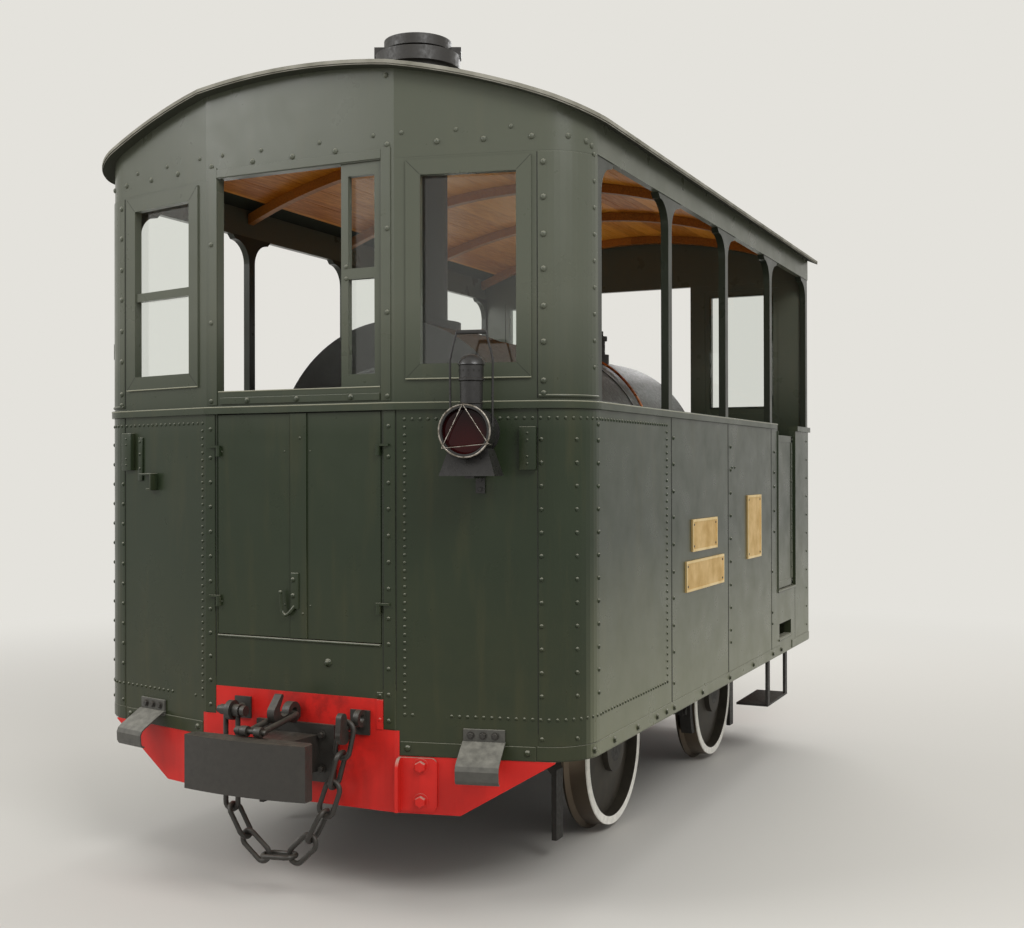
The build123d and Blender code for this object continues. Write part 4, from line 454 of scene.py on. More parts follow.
for material, names in finish.items():
    for name in names:
        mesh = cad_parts[name].data
        mesh.materials.clear()
        mesh.materials.append(material)
print("nodes without a finish:", set(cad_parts) - {n for names in finish.values() for n in names})

# %% [markdown]
# The skin is one sheet that runs flat across the front, back along a slanted face, round the corner
# and along the side. One function finds a point on it from the way along the sheet, so a row of
# rivets is laid out as on the flat sheet, before it was bent.

# %% Places on the skin
bend_end = centre_half + facet_length
corner_end = bend_end + arc_length


def level(height):
    """The height of a point that is this many millimetres above the rail."""
    return rail_top + height * MM


def on_facet(along):
    """The run to a point on the slanted face, in millimetres from its bend."""
    return centre_half + along * MM


def on_corner(turn):
    """The run to a point on the round corner, by the way that the skin has turned there."""
    return bend_end + corner_radius * (radians(turn) - facet_angle)


def on_side(distance):
    """The run to a point on the side, in millimetres behind the front."""
    return corner_end + front_y + distance * MM - corner_y


def skin(run, height, out=0.0):
    """A point this far round the skin and this many millimetres above the rail, and how it faces."""
    side = 1 if run >= 0 else -1
    far = abs(run)
    if far <= centre_half:
        x, y, turn = far, front_y, 0.0
    elif far <= bend_end:
        x = centre_half + (far - centre_half) * cos(facet_angle)
        y = front_y + (far - centre_half) * sin(facet_angle)
        turn = facet_angle
    elif far <= corner_end:
        turn = facet_angle + (far - bend_end) / corner_radius
        x = corner_x + corner_radius * sin(turn)
        y = corner_y - corner_radius * cos(turn)
    else:
        x, y, turn = half_width, corner_y + far - corner_end, pi / 2
    way = Vector((side * sin(turn), -cos(turn), 0))
    return Vector((side * x, y, level(height))) + way * out, way


def frame_at(spot, way):
    """A frame at a spot: its Z faces the way, and its Y is up."""
    up = Vector((0, 0, 1))
    return Matrix.Translation(spot) @ Matrix((up.cross(way), up, way)).transposed().to_4x4()


def lift(where, out):
    """The frame moved this far outwards."""
    return where @ Matrix.Translation((0, 0, out))


def skin_frame(run, height, out=0.0):
    """A frame on the skin, for a fitting that sits on it."""
    return frame_at(*skin(run, height, out))


def rear_frame(x, height, out=0.0):
    """A frame on the rear wall, at a height in millimetres above the rail."""
    return frame_at(Vector((x, rear_y + out, level(height))), Vector((0, 1, 0)))


print("the skin runs", round(on_side(3855), 3), "m from the middle of the front to the rear")

# %% [markdown]
# Every new piece ends in the same way: its faces are turned outwards, it gets its finish, and it is
# told which body it rides on. Most are green and ride on the cab's body, so these are the defaults.

# %% Finishing a piece


def finish_piece(name, bm, material=green_paint, body="body", smooth=False):
    """Turn a bmesh into a named object that rides on a body."""
    bmesh.ops.recalc_face_normals(bm, faces=bm.faces[:])
    mesh = bpy.data.meshes.new(name)
    bm.to_mesh(mesh)
    bm.free()
    mesh.materials.append(material)
    mesh.polygons.foreach_set("use_smooth", [smooth] * len(mesh.polygons))
    made = put(name, mesh)
    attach(made, body)
    print(name, "has", len(mesh.polygons), "faces")
    return made


def round_edges(piece, name, width, segments):
    """A bevel on the sharp edges of a piece."""
    bevel = piece.modifiers.new(name, "BEVEL")
    bevel.width = width
    bevel.segments = segments
    bevel.limit_method = "ANGLE"


# %% [markdown]
# **Rivets.** A rivet head is a low dome. A ball pressed flat and sunk to its middle gives that shape
# from eight sides, which is enough for a head of 13 to 25 mm. Many heads are one mesh.

# %% Rivet and bolt heads
seam_radius = 6.6 * MM
plate_radius = 8.6 * MM
window_radius = 11.5 * MM
strip_out = 4 * MM
plate_out = 3 * MM


def studs(bm, places, radius, height=None):
    """Rivet heads on these frames, made in a small bmesh first, which is much quicker."""
    shape = Matrix.Diagonal((radius, radius, height or 0.72 * radius, 1))
    few = bmesh.new()
    for where in places:
        bmesh.ops.create_uvsphere(few, u_segments=8, v_segments=6, radius=1, matrix=where @ shape)
    made = bpy.data.meshes.new("few_rivets")
    few.to_mesh(made)
    few.free()
    bm.from_mesh(made)
    bpy.data.meshes.remove(made)


def bolt(bm, where, radius, height=9):
    """A hexagon head on its washer, with its top edge taken off. Its sizes are in millimetres."""
    shoulder = 2 + 0.8 * height
    for low, high, sides, size, top in (
        (-1, 2.5, 16, 1.35 * radius, 1.35 * radius),
        (2, shoulder, 6, radius, radius),
        (shoulder, 2 + height, 6, radius, 0.86 * radius),
    ):
        bmesh.ops.create_cone(
            bm, cap_ends=True, segments=sides, radius1=size * MM, radius2=top * MM,
            depth=(high - low) * MM, matrix=lift(where, (low + high) / 2 * MM),
        )


def line_up(start, end, pitch):
    """Even places from start to end, close to this pitch apart."""
    count = max(1, round(abs(end - start) / pitch))
    return [start + (end - start) * number / count for number in range(count + 1)]


def rivet_row(bm, runs, height, radius):
    """A level row of rivets on the skin."""
    studs(bm, [skin_frame(run, height) for run in runs], radius)


def rivet_column(bm, run, heights, radius, out=0.0):
    """A column of rivets on the skin."""
    studs(bm, [skin_frame(run, height, out) for height in heights], radius)


# %% [markdown]
# **Rivets of the upper front.** Two staggered rows hold the arch to the wall, and a column runs down
# each side of every window.

# %% Rivets above and beside the windows
lower_row = 2798
upper_row = 2838
sill_height = 1866
upper = bmesh.new()
rivet_row(upper, [x * MM for x in (-405, -206, -19, 176, 403)], lower_row, window_radius)
rivet_row(upper, [x * MM for x in (-351, -165, 105, 343)], upper_row, plate_radius)
facet_rows = ((1, (165, 341, 519), (29, 237, 443)), (-1, (181, 358, 529), (39, 252, 452)))
for side, low_row, high_row in facet_rows:
    rivet_row(upper, [side * on_facet(along) for along in low_row], lower_row, window_radius)
    rivet_row(upper, [side * on_facet(along) for along in high_row], upper_row, plate_radius)
rivet_column(upper, 398 * MM, (3057,), window_radius)
far_column = (2703, 2576, 2443, 2317, 2183, 2054, 1914, 1868)
for side in (1, -1):
    rivet_column(upper, side * 405 * MM, (2487, 2177, sill_height), 10 * MM, strip_out)
    rivet_column(upper, side * on_facet(562), far_column, window_radius, plate_out)
    rivet_column(upper, side * on_corner(80), line_up(1967, 2747, 97.5), plate_radius, plate_out)
    for turn, height in ((43.2, 2798), (66.8, 2788), (76.4, 2777)):
        rivet_column(upper, side * on_corner(turn), (height,), window_radius)
for x in (-229, 3, 247):
    bolt(upper, skin_frame(x * MM, sill_height, 6 * MM), 8, 5)
rivet_column(upper, 219 * MM, (2359, 2314), plate_radius, -8 * MM)
finish_piece("rivets_upper_front", upper, smooth=True)

# %% [markdown]
# **Rivets of the lower front.** The tanks stand behind these plates, and their seams are riveted
# close together to hold water. The plates between have heads some 100 mm apart.

# %% Rivets of the lower front
seam_pitch = 29.3
tank_seam_top = 1780
tank_seam_foot = 692
tank_rivets = line_up(tank_seam_foot, 1750, seam_pitch)
tank_end = 1108
band_bolts = 569
corner_plate_start = on_facet(541)
corner_plate_end = on_side(335)
apron_plug = skin_frame(141 * MM, 863)
front_strip_rivets = (1755, 1642, 1545, 1448, 1349, 1252, 1153, 1043, 949, 857, 762, 666)


def over_plate(run):
    """The height of the corner plate where a rivet goes through it."""
    return plate_out if corner_plate_start < abs(run) < corner_plate_end else 0.0


lower = bmesh.new()
for side, first in ((1, 39), (-1, 25)):
    rivet_column(lower, side * 409 * MM, front_strip_rivets, plate_radius, strip_out)
    rivet_column(lower, side * on_facet(first), tank_rivets, seam_radius)
    for start, height in ((on_facet(first), tank_seam_top), (on_facet(217), tank_seam_foot)):
        runs = line_up(start, on_side(tank_end), 30 * MM)
        studs(lower, [skin_frame(side * run, height, over_plate(run)) for run in runs], seam_radius)
    rivet_row(lower, (side * on_facet(69),), tank_seam_foot, seam_radius)
    for run in (on_facet(553), on_corner(52.6)):
        rivet_column(lower, side * run, line_up(776, 1702, 84) + [622], plate_radius, plate_out)
    rivet_column(lower, side * on_side(307), [1759] + line_up(774, 1700, 84), plate_radius, plate_out)
    for run in (on_facet(51), on_facet(500), on_corner(77.5)):
        bolt(lower, skin_frame(side * run, band_bolts, strip_out), 9, 6)
bolt(lower, lift(apron_plug, 3 * MM), 9)
bmesh.ops.create_cone(
    lower, cap_ends=True, segments=24, radius1=17 * MM, radius2=15 * MM, depth=6 * MM,
    matrix=lift(apron_plug, 1 * MM),
)
finish_piece("rivets_lower_front", lower, smooth=True)

# %% [markdown]
# **Rivets of the sides and the rear.** The sides repeat the same seams. The rear, out of sight, has
# the columns and rows that the front plates would need there.

# %% Rivets of the sides and the rear
panel_columns = (
    (1198, (1727, 1614, 1497, 1386, 1269, 1151, 1038, 921, 807, 673)),
    (2100, (1702, 1588, 1474, 1362, 1249, 1136, 1021, 909, 798, 738)),
    (2990, (1686, 1572, 1493, 1359, 1243)),
    (2940, (1025, 799, 737)),
)
rear_columns = (409, 1060)
skirt_bolts = (463, 723, 960, 1084, 1186, 1604, 2061, 2514, 2937, 3131)
plates = bmesh.new()
for side in (1, -1):
    rivet_column(plates, side * on_side(tank_end), tank_rivets, seam_radius)
    for distance, heights in panel_columns:
        rivet_column(plates, side * on_side(distance), heights, plate_radius)
    rivet_row(plates, [side * on_side(distance) for distance in (2126, 2174)], 1600, seam_radius)
    rivet_column(plates, side * on_side(3800), line_up(640, 1760, 112), seam_radius)
    for distance in skirt_bolts:
        bolt(plates, skin_frame(side * on_side(distance), 571, strip_out), 10, 6)
    for x in rear_columns:
        heights = line_up(762, 1755, 110)
        studs(plates, [rear_frame(side * x * MM, height, 4 * MM) for height in heights], plate_radius)
    studs(plates, [rear_frame(side * 410 * MM, z) for z in (2740, 2457, 2147, 1890)], window_radius)
studs(plates, [rear_frame(x * MM, tank_seam_top) for x in line_up(-1040, 1040, 65)], seam_radius)
studs(plates, [rear_frame(x * MM, 2840) for x in line_up(-1000, 1000, 250)], window_radius)
finish_piece("rivets_side_and_rear", plates, smooth=True)

# %% [markdown]
# **Lap strips and edging.** Thin strips cover the joints of the plates, a doubling plate goes round
# each corner, and a flat band stiffens the foot of the skirt. Each is a line along the skin, bridged
# to a second line just outside it and drawn down to its lower edge.

# %% Lap strips, corner plates and the skirt band


def drag(bm, made, way):
    """Move the corners that an extrusion made."""
    verts = [item for item in made if isinstance(item, bmesh.types.BMVert)]
    bmesh.ops.translate(bm, verts=verts, vec=way)


def slab(bm, where, width, height, depth):
    """A box with its middle at a frame."""
    bmesh.ops.create_cube(bm, size=1, matrix=where @ Matrix.Diagonal((width, height, depth, 1)))


def ribbon(bm, inner, outer, drop):
    """A closed strip between two lines of points, drawn out by a vector."""
    edges = []
    for line in (inner, outer):
        verts = [bm.verts.new(spot) for spot in line]
        edges += [bm.edges.new(pair) for pair in zip(verts, verts[1:])]
    faces = bmesh.ops.bridge_loops(bm, edges=edges)["faces"]
    drag(bm, bmesh.ops.extrude_face_region(bm, geom=faces)["geom"], drop)


def points_on_way(start, end):
    """The runs of the points that a line along the skin needs: its ends, the bends and the corner."""
    runs = [start, end] + [bend for bend in (centre_half, bend_end, corner_end) if start < bend < end]
    if start < corner_end and end > bend_end:
        runs += line_up(max(start, bend_end), min(end, corner_end), 22 * MM)
    return sorted({round(run, 6) for run in runs})


def skin_strip(bm, start, end, low, high, out):
    """A strip on the skin, and its mirror image, between two runs and two heights."""
    for side in (1, -1):
        runs = [side * run for run in points_on_way(start, end)]
        inner = [skin(run, high, -1 * MM)[0] for run in runs]
        ribbon(bm, inner, [skin(run, high, out)[0] for run in runs], Vector((0, 0, (low - high) * MM)))


skirt_foot = 596
waist_foot = 1813
waist_top = 1852
arch_foot = 2742
strips = bmesh.new()
for start, end, low, high, out in (
    (387 * MM, 436 * MM, 636, waist_foot, strip_out),
    (corner_plate_start, corner_plate_end, skirt_foot, waist_foot, plate_out),
    (corner_plate_start, corner_end - 3 * MM, waist_top, arch_foot, plate_out),
    (on_facet(23), on_facet(530), 543, 593, strip_out),
    (on_facet(534), on_side(3110), 546, 595, strip_out),
    (on_side(3400), on_side(3850), 546, 592, strip_out),
    (377 * MM, 418 * MM, 1850, 2790, strip_out),
):
    skin_strip(strips, start, end, low, high, out)
for x, wide, height, tall, deep in ((0, 754, 2767, 33, 5), (6, 732, sill_height, 26, 6)):
    middle = skin_frame(x * MM, height, (deep / 2 - 1) * MM)
    slab(strips, middle, wide * MM, tall * MM, (deep + 2) * MM)
for side in (1, -1):
    for x in rear_columns:
        slab(strips, rear_frame(side * x * MM, 1220), 50 * MM, 1180 * MM, 7 * MM)
slab(strips, rear_frame(0, band_bolts), 2140 * MM, 50 * MM, 7 * MM)
lap_strips = finish_piece("lap_strips", strips)
round_edges(lap_strips, "softened_edges", 1.2 * MM, 2)

# %% [markdown]
# ** Open joints and shadow lines.** Where two plates only meet, dirt fills the gap and shows as a dark
# line, as at the mitres of the window frames. The wider dark lines on the sides and the lines beside
# the strips and plates are painted shadow of their proud edges. Each line is a sliver of grime colour
# that stands a fraction of a millimetre proud.

# %% Dark joints and painted shadow lines
joint_out = 0.5 * MM
mitre = 74 * MM
dark_lines = bmesh.new()
# Painted shadow: the wide dark lines on the sides, and the lines beside the lap strips and corner plates,
# stand for the shadows of proud edges.
for distance in (1170, 2055, 2923):
    skin_strip(dark_lines, on_side(distance - 5), on_side(distance + 5), skirt_foot, waist_foot, 0.6 * MM)
for start, end, low, high in (
    (on_facet(537.5), on_facet(540.5), 640, waist_foot),
    (on_side(336), on_side(339), skirt_foot, waist_foot),
    (on_side(3487), on_side(3491), skirt_foot, 895),
    (382 * MM, 385.5 * MM, 780, waist_foot),
    (437 * MM, 440 * MM, 780, waist_foot),
    (on_facet(537), on_facet(540), waist_top, arch_foot),
):
    skin_strip(dark_lines, start, end, low, high, joint_out)
for side in (1, -1):
    for along, height, turn in ((74, 1956, 45), (490, 1956, -45), (74, 2706, -45), (490, 2706, 45)):
        where = skin_frame(side * on_facet(along), height, 7.2 * MM)
        slab(dark_lines, where @ Matrix.Rotation(radians(side * turn), 4, "Z"), mitre, 1.6 * MM, 0.8 * MM)
finish_piece("joints_and_painted_shadows", dark_lines, grime_and_painted_shade)

# %% [markdown]
# ** Beads.** Half-round bars are riveted along edges that hands and rain meet: the foot of the doors,
# the foot of each corner window and the sill of the side door. A curve with a round bevel, half sunk
# in the plate, is a half-round bar. Thin pale ones along the waist and the sills are painted
# highlights of their lit top edges.

# %% Half-round beads


def bars(name, lines, radius, material=green_paint, body="body", closed=False):
    """Round bars along lines of points, as one curve object."""
    curve = bpy.data.curves.new(name, "CURVE")
    curve.dimensions = "3D"
    curve.bevel_depth = radius
    curve.bevel_resolution = 3
    curve.use_fill_caps = True
    for line in lines:
        spline = curve.splines.new("POLY")
        spline.points.add(len(line) - 1)
        spline.points.foreach_set("co", [value for spot in line for value in (*spot, 1.0)])
        spline.use_cyclic_u = closed
        spline.use_smooth = True
    curve.materials.append(material)
    made = put(name, curve)
    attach(made, body)
    print(name, "has", len(lines), "bars")


def along_skin(side, start, end, height, out):
    """Points along the skin at one height."""
    return [skin(side * run, height, out)[0] for run in points_on_way(start, end)]


door_edge = 372 * MM
sill_start = on_side(3067)
bead_lines = [[skin(x, 941, 1 * MM)[0] for x in (-door_edge, door_edge)]]
# Painted highlights: pale beads along the lit top edges of the waist and the window sills.
highlight_ledges = [[skin(x, 1903)[0] for x in (-door_edge, door_edge)]]
for side in (1, -1):
    bead_lines += [
        along_skin(side, on_facet(545), corner_end - 4 * MM, 1860, plate_out),
        along_skin(side, sill_start, on_side(3489), 899, 1 * MM),
        [skin(side * sill_start, height, 1 * MM)[0] for height in (899, 1806)],
        along_skin(side, on_side(3090), on_side(3378), 624, 1 * MM),
    ]
    highlight_ledges.append(along_skin(side, 0, on_side(3020), 1841, 13 * MM))
    for height, near, far, out in ((1928, 46, 518, 8), (1976, 104, 460, 1)):
        highlight_ledges.append([skin(side * on_facet(along), height, out * MM)[0] for along in (near, far)])
bars("edge_beads", bead_lines, 5.5 * MM)
bars("painted_highlight_ledges", highlight_ledges, 2.6 * MM, highlight_green)

# %% [markdown]
# **The hem of the roof.** The roof canvas is turned down over the edge of the boards and nailed
# under a thin batten. It is a strip that follows the skin at the roof's overhang, with its top on
# the arc of the roof.

# %% Roof hem
roof_radius = 2820 * MM
roof_top = level(3128)
overhang = 50 * MM
hem_depth = 15 * MM
hem_rise = 3 * MM


def roof_height(x):
    """The height of the hem's top, just over the roof's arc."""
    return roof_top - roof_radius + sqrt(roof_radius ** 2 - x ** 2) + hem_rise


def on_roof(run, out):
    """The hem's top above the skin's run, this far outside the skin."""
    spot = skin(run, 0, out)[0]
    return Vector((spot.x, spot.y, roof_height(spot.x)))


hem = bmesh.new()
hem_runs = line_up(0, centre_half, 70 * MM) + line_up(centre_half, bend_end, 70 * MM)[1:]
hem_runs += line_up(bend_end, corner_end, 22 * MM)[1:] + [on_side(3800), on_side(3893)]
hem_drop = Vector((0, 0, -hem_depth))
for side in (1, -1):
    inner = [on_roof(side * run, overhang - 2 * MM) for run in hem_runs]
    outer = [on_roof(side * run, overhang + 4 * MM) for run in hem_runs]
    ribbon(hem, inner, outer, hem_drop)
rear_x = [x * MM for x in line_up(-1160, 1160, 90)]
inner = [Vector((x, rear_y + overhang - 2 * MM, roof_height(x))) for x in rear_x]
ribbon(hem, inner, [spot + Vector((0, 6 * MM, 0)) for spot in inner], hem_drop)
roof_hem = finish_piece("roof_hem", hem, canvas_edge)
round_edges(roof_hem, "turned_edge", 2 * MM, 3)

# %% [markdown]
# **Fittings of the front.** Cast boxes sit at the corners for a side lamp, and the left face also
# has a strap and a bracket for a hose. They are blocks with their edges rounded as castings are.

# %% Boxes and brackets of the front


def block(bm, where, width, height, depth):
    """A block that stands on a frame, from 1 mm in the plate to its depth, in millimetres."""
    slab(bm, lift(where, (depth - 1) / 2 * MM), width * MM, height * MM, (depth + 1) * MM)


def soften(bm, width, segments=2):
    """Round every edge of a bmesh."""
    bmesh.ops.bevel(
        bm, geom=bm.edges[:], offset=width, segments=segments, profile=0.5, affect="EDGES", material=-1
    )


lamp_box = on_facet(505)
strap = -on_facet(428)
box_depth = 22 * MM
fittings = bmesh.new()
for run, height, wide, tall, deep in (
    (lamp_box, 1671, 62, 156, 22), (-lamp_box, 1671, 62, 156, 22), (strap, 1640, 30, 180, 8),
    (-on_facet(360), 1577, 84, 8, 34), (-on_facet(324), 1546, 9, 68, 34), (-on_facet(340), 1515, 38, 8, 30),
    (-on_corner(70), 2110, 30, 68, 16), (369 * MM, 756, 26, 26, 3),
):
    block(fittings, skin_frame(run, height), wide, tall, deep)
soften(fittings, 2 * MM)
finish_piece("front_fittings", fittings, smooth=True)

heads = bmesh.new()
for side in (1, -1):
    rivet_column(heads, side * lamp_box, (1725, 1700, 1640, 1615), 5 * MM, box_depth)
rivet_column(heads, strap, (1712, 1660, 1600), 6.5 * MM, 8 * MM)
rivet_column(heads, 371 * MM, (757,), 6.5 * MM, 3 * MM)
finish_piece("front_fitting_screws", heads, smooth=True)

# %% [markdown]
# **Bolts of the beam and the steps.** The beam's bracket and the steps are held by large hexagon
# bolts. Those on the beam are under its red paint.

# %% Bolts of the beam, the buffers and the steps
red_bolts = bmesh.new()
for height in (507, 379):
    bolt(red_bolts, skin_frame(on_facet(103), height, 12 * MM), 22, 16)
block(red_bolts, skin_frame(369 * MM, 686), 29, 110, 3)
soften(red_bolts, 1 * MM)
rivet_column(red_bolts, 371 * MM, (668,), 6.5 * MM, 3 * MM)
finish_piece("beam_bracket_bolts", red_bolts, red_paint)
iron_bolts = bmesh.new()
for side in (1, -1):
    for along in (291, 337, 382):
        bolt(iron_bolts, skin_frame(side * on_facet(along), 628, 9 * MM), 11, 8)
    for height in (593, 464):
        bolt(iron_bolts, skin_frame(side * 126 * MM, height, 22 * MM), 12, 12)
        bolt(iron_bolts, rear_frame(side * 126 * MM, height, 22 * MM), 12, 12)
finish_piece("iron_bolts", iron_bolts, black_iron)

# %% [markdown]
# **The front steps.** Each tread is one sheet bent down from the wall plate, with its lip turned
# under so that a boot doesn't meet an edge. The bend is a line of points drawn out sideways and
# given the thickness of the sheet. It stands for the plain step of the model.

# %% Sheet steps
step_line = ((1, 601), (14, 600), (102, 548), (116, 537), (122, 522), (120, 490), (114, 480), (104, 478))
step_width = 160 * MM
step_run = on_facet(340)
steps = bmesh.new()
for side in (1, -1):
    start = skin_frame(side * step_run, 0) @ Matrix.Translation((-step_width / 2, 0, 0))
    bent = [steps.verts.new(start @ Vector((0, height * MM, out * MM))) for out, height in step_line]
    edges = [steps.edges.new(pair) for pair in zip(bent, bent[1:])]
    drawn = bmesh.ops.extrude_edge_only(steps, edges=edges)["geom"]
    drag(steps, drawn, start.to_3x3() @ Vector((step_width, 0, 0)))
    block(steps, skin_frame(side * step_run, 619), 156, 64, 9)
sheet_faces = [
    face for face in steps.faces if len(face.edges) == 4 and any(e.is_boundary for e in face.edges)
]
bmesh.ops.solidify(steps, geom=sheet_faces, thickness=6 * MM)
sheet_steps = finish_piece("front_step_treads", steps, worn_tread)
round_edges(sheet_steps, "worn_edges", 2 * MM, 3)
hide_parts("footsteps")

# %% [markdown]
# **The latch of the front doors.** A plate on the right door's stile carries a bent handle with a
# ball end. They ride on that door, so they swing away with it.

# %% Latch and screws of the doors
stile_out = 6 * MM
latch = bmesh.new()
block(latch, skin_frame(-4 * MM, 1131, stile_out), 34, 138, 7)
soften(latch, 2.5 * MM, 3)
rivet_column(latch, -10 * MM, (1173, 1112), 10 * MM, stile_out + 7 * MM)
ball = skin_frame(-61 * MM, 1124, 22 * MM)
bmesh.ops.create_uvsphere(latch, u_segments=16, v_segments=10, radius=8 * MM, matrix=ball)
finish_piece("door_latch", latch, body="front_door_right", smooth=True)
hook_line = (
    (-6, 1072, 8), (-10, 1062, 15), (-18, 1050, 20), (-29, 1040, 22), (-40, 1037, 22), (-50, 1044, 22),
    (-56, 1058, 22), (-59, 1084, 22), (-61, 1120, 22),
)
hook = [skin(x * MM, height, out * MM)[0] for x, height, out in hook_line]
bars("door_latch_hook", [hook], 6.5 * MM, body="front_door_right")
for name, middle in (("front_door_right", 211), ("front_door_left", -206)):
    screws = bmesh.new()
    for x in (middle - 150, middle + 150):
        rivet_column(screws, x * MM, (1665, 1075), 4 * MM)
    if middle > 0:
        rivet_column(screws, 18 * MM, (1716,), 6 * MM, stile_out)
        rivet_column(screws, 31 * MM, (1044,), 5 * MM, stile_out)
    finish_piece(name + "_screws", screws, body=name, smooth=True)

# %% [markdown]
# **The stop of the front doors.** A flat bar behind the top of the doors keeps the rain and the
# light out. It stands 5 mm behind them, so they swing clear.

# %% Door stop
stop = bmesh.new()
block(stop, skin_frame(0, 1822, -39.5 * MM), 770, 58, 7.5)
soften(stop, 1 * MM)
finish_piece("door_stop", stop)

# %% [markdown]
# **The side doors.** Each has a raised frame, which is riveted along its two upright bars.

# %% Frames of the side doors
leaf_out = -15 * MM
leaf_columns = (3108, 3468)
frame_bars = [(distance, 36, 915, 1782) for distance in leaf_columns]
frame_bars += [(3288, 396, 915, 951), (3288, 396, 1746, 1782)]
for side, name in ((1, "side_door_right"), (-1, "side_door_left")):
    leaf = bmesh.new()
    for distance, wide, low, high in frame_bars:
        block(leaf, skin_frame(side * on_side(distance), (low + high) / 2, leaf_out), wide, high - low, 3)
    soften(leaf, 1 * MM, 1)
    for distance in leaf_columns:
        rivet_column(leaf, side * on_side(distance), line_up(935, 1765, 83), seam_radius, leaf_out + 3 * MM)
    finish_piece(name + "_frame", leaf, body=name)

# %% [markdown]
# **Brass plates.** The cast plates are bare, with a raised rim and a screw near each corner. The rim
# is a sheet whose middle is inset and taken out, and which is then drawn out into a low border.

# %% Rims and screws of the brass plates
brass_places = ((1452, 1840, 1222, 1367), (1357, 1952, 1047, 1184), (2400, 2670, 1129, 1457))
brass_out = 6.3 * MM
rim = bmesh.new()
screws = bmesh.new()
for side in (1, -1):
    for near, far, low, high in brass_places:
        middle = skin_frame(side * on_side((near + far) / 2), (low + high) / 2, brass_out - 0.5 * MM)
        size = Matrix.Diagonal(((far - near) * MM, (high - low) * MM, 1, 1))
        sheet = bmesh.ops.create_grid(rim, x_segments=1, y_segments=1, size=0.5, matrix=middle @ size)
        face = sheet["verts"][0].link_faces[0]
        border = bmesh.ops.inset_region(
            rim, faces=[face], thickness=11 * MM, use_boundary=True, use_even_offset=True
        )["faces"]
        bmesh.ops.delete(rim, geom=[face], context="FACES_ONLY")
        raised = bmesh.ops.extrude_face_region(rim, geom=border)["geom"]
        drag(rim, raised, middle.to_3x3() @ Vector((0, 0, 3 * MM)))
        for distance in (near + 24, far - 24):
            ends = (low + 24, high - 24)
            where = [skin_frame(side * on_side(distance), end, brass_out) for end in ends]
            studs(screws, where, 6 * MM, 3 * MM)
finish_piece("brass_plate_rims", rim, rubbed_brass)
finish_piece("brass_plate_screws", screws, black_iron, smooth=True)

# %% [markdown]
# **The lamp's glass and guard.** Behind the ring is a domed ruby glass, and three wires hooked over
# the ring guard it. The dome is an arc spun about the lamp's axis, which keeps its pole closed.

# %% Ruby glass, wire guard and vents
lamp_run = on_facet(329)
lamp_height = 1728
lamp_face = 228 * MM
lamp = skin_frame(lamp_run, lamp_height)


def on_lamp(x, z, out):
    """A point of the lamp, by its place across the lens in millimetres and how far out it is."""
    return lamp @ Vector((x * MM, z * MM, out))


lens = bmesh.new()
lens_radius = 81
lens_rise = 11
lens_segments = 7
ball_radius = (lens_radius ** 2 + lens_rise ** 2) / (2 * lens_rise)
lens_turn = asin(lens_radius / ball_radius)
dome_out = lamp_face + (9 + lens_rise) * MM
profile = []
for number in range(lens_segments + 1):
    turn = lens_turn * number / lens_segments
    out = dome_out - ball_radius * (1 - cos(turn)) * MM
    profile.append(lens.verts.new(on_lamp(ball_radius * sin(turn), 0, out)))
arc = [lens.edges.new(pair) for pair in zip(profile, profile[1:])]
bmesh.ops.spin(
    lens, geom=profile + arc, cent=lamp.translation, axis=lamp.to_3x3() @ Vector((0, 0, 1)), angle=2 * pi,
    steps=48, use_merge=True,
)
bmesh.ops.remove_doubles(lens, verts=lens.verts[:], dist=0.05 * MM)
finish_piece("lamp_lens", lens, ruby_glass, smooth=True)
guard_out = lamp_face + 27 * MM
corners = [(-5, 92), (-80, -60), (86, -45)]
wires = [[on_lamp(*spot, guard_out) for spot in pair] for pair in zip(corners, corners[1:] + corners[:1])]
wires += [[on_lamp(x, z, guard_out), on_lamp(1.05 * x, 1.05 * z, lamp_face)] for x, z in corners]
bars("lamp_guard", wires, 1.6 * MM, bright_steel)
ring_radius = 91
ring_points = 56
turns = [2 * pi * number / ring_points for number in range(ring_points)]
ring = [on_lamp(ring_radius * cos(turn), ring_radius * sin(turn), lamp_face + 23 * MM) for turn in turns]
bars("lamp_ring_edge", [ring], 3.2 * MM, bright_steel, closed=True)
# The vents are dark discs round the top of the lamp: painted shade for the holes.
vents = bmesh.new()
stack = on_lamp(0, 0, 145 * MM)
vent_count = 14
for number in range(vent_count):
    turn = 2 * pi * number / vent_count
    way = Vector((cos(turn), sin(turn), 0))
    spot = Vector((stack.x, stack.y, level(lamp_height + 214))) + way * 44 * MM
    bmesh.ops.create_cone(
        vents, cap_ends=True, segments=12, radius1=4 * MM, radius2=4 * MM, depth=1 * MM,
        matrix=frame_at(spot, way),
    )
finish_piece("lamp_vents", vents, grime_and_painted_shade)
lamp_bolts = bmesh.new()
for drop in (170, 206):
    bolt(lamp_bolts, skin_frame(lamp_run, lamp_height - drop, 12 * MM), 8, 6)
finish_piece("lamp_bracket_bolts", lamp_bolts, lamp_black)

# %% [markdown]
# **The side chain.** The solid links are six-sided to keep the model light. Their copy is merged,
# its triangles are joined to faces, and a subdivision surface rounds the wire. A small push
# outwards makes up for what the subdivision takes off.

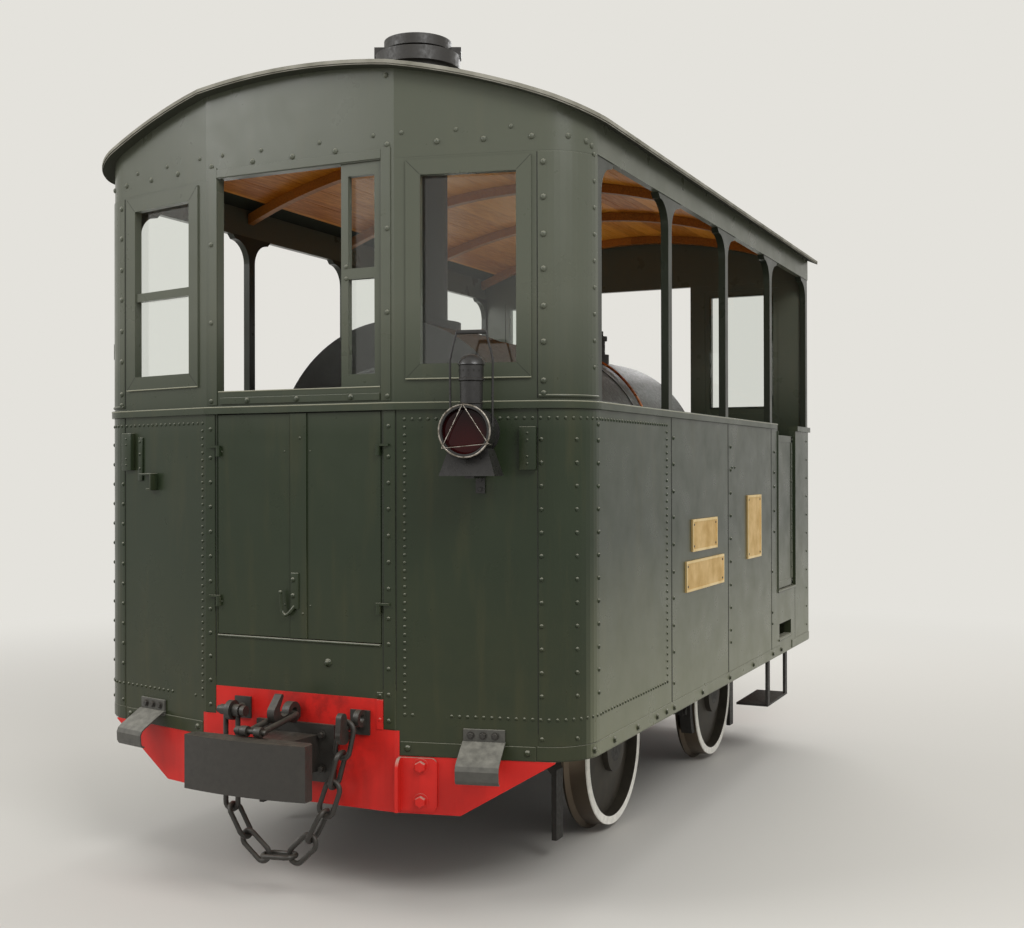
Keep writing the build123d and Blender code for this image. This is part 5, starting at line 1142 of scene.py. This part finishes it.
# %% Round links for the side chain
wire_gain = 1.1 * MM
chain = bmesh.new()
chain.from_mesh(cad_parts["side_chain"].data)
bmesh.ops.remove_doubles(chain, verts=chain.verts[:], dist=0.02 * MM)
bmesh.ops.join_triangles(chain, faces=chain.faces[:], angle_face_threshold=0.6, angle_shape_threshold=3.1)
round_chain = finish_piece("side_chain_links", chain, black_iron, smooth=True)
rounding = round_chain.modifiers.new("round_wire", "SUBSURF")
rounding.levels = rounding.render_levels = 1
push = round_chain.modifiers.new("wire_gain", "DISPLACE")
push.strength = wire_gain
push.mid_level = 0
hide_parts("side_chain")

# %% [markdown]
# The stage is a plain pale floor with soft light from above, as in a hall with a glass roof. Far
# from the object it turns into the pale surround that the camera, mirrors and glass see, so no
# horizon shows. Near the object it stays plain and keeps the shadow.

# %% Floor
surround = "#e4e2dc"
floor_bm = bmesh.new()
bmesh.ops.create_circle(floor_bm, cap_ends=True, segments=64, radius=40)
floor_mesh = bpy.data.meshes.new("floor")
floor_bm.to_mesh(floor_mesh)
floor_bm.free()
floor = put("floor", floor_mesh)


def pale_rays(tree):
    """One where a ray comes from the camera, a mirror or glass, and nought for the light itself."""
    path = add(tree, "LightPath")
    seen = path.outputs["Is Camera Ray"]
    for name in ("Is Glossy Ray", "Is Transmission Ray"):
        seen = maths(tree, "MAXIMUM", seen, path.outputs[name])
    return seen


floor_paint, tree = surface("pale_floor", Base_Color="#cfccc5", Roughness=0.8)
floor_mesh.materials.append(floor_paint)
far = add(
    tree, "MapRange", {"Value": apart(tree, place(tree), (0, 0, 0)), "From Min": 3.0, "From Max": 9.0},
    interpolation_type="SMOOTHSTEP",
).outputs[0]
share = maths(tree, "MULTIPLY", far, pale_rays(tree))
glow = add(tree, "Emission", {"Color": surround, "Strength": 1.0}).outputs[0]
mixed = add(tree, "MixShader", {0: share, 1: tree.nodes["Principled BSDF"].outputs[0], 2: glow})
tree.links.new(mixed.outputs[0], tree.nodes["Material Output"].inputs["Surface"])
print("the floor is", round(floor.dimensions.x), "m across")

# %% [markdown]
# The world lights the object evenly, as a bright roof does, and three large lamps give it soft
# shadows. The camera sees the pale surround instead.

# %% Light
world = bpy.data.worlds.new("soft_surround")
bpy.context.scene.world = world
world.use_nodes = True
tree = world.node_tree
light = add(tree, "Background", {"Color": "#ffffff", "Strength": 0.6})
shown = add(tree, "Background", {"Color": surround, "Strength": 1.0})
mixed = add(tree, "MixShader", {0: pale_rays(tree), 1: light.outputs[0], 2: shown.outputs[0]})
tree.links.new(mixed.outputs[0], tree.nodes["World Output"].inputs["Surface"])


def soft_lamp(name, where, size, watts):
    """An area lamp that looks at the middle of the object."""
    data = bpy.data.lights.new(name, "AREA")
    data.shape = "RECTANGLE"
    data.size, data.size_y = size
    data.energy = watts
    lamp = put(name, data)
    lamp.location = where
    lamp.rotation_euler = (Vector((0, 0, 1.6)) - Vector(where)).to_track_quat("-Z", "Y").to_euler()
    print(name, "gives", watts, "W")


soft_lamp("roof_light_right", (5.5, -5.0, 6.5), (4, 3), 330)
soft_lamp("roof_light_left", (-5.0, -6.0, 5.5), (4, 3), 240)
soft_lamp("roof_light_rear", (0.0, 7.0, 6.5), (5, 3), 300)
bpy.context.scene.view_settings.view_transform = "Standard"
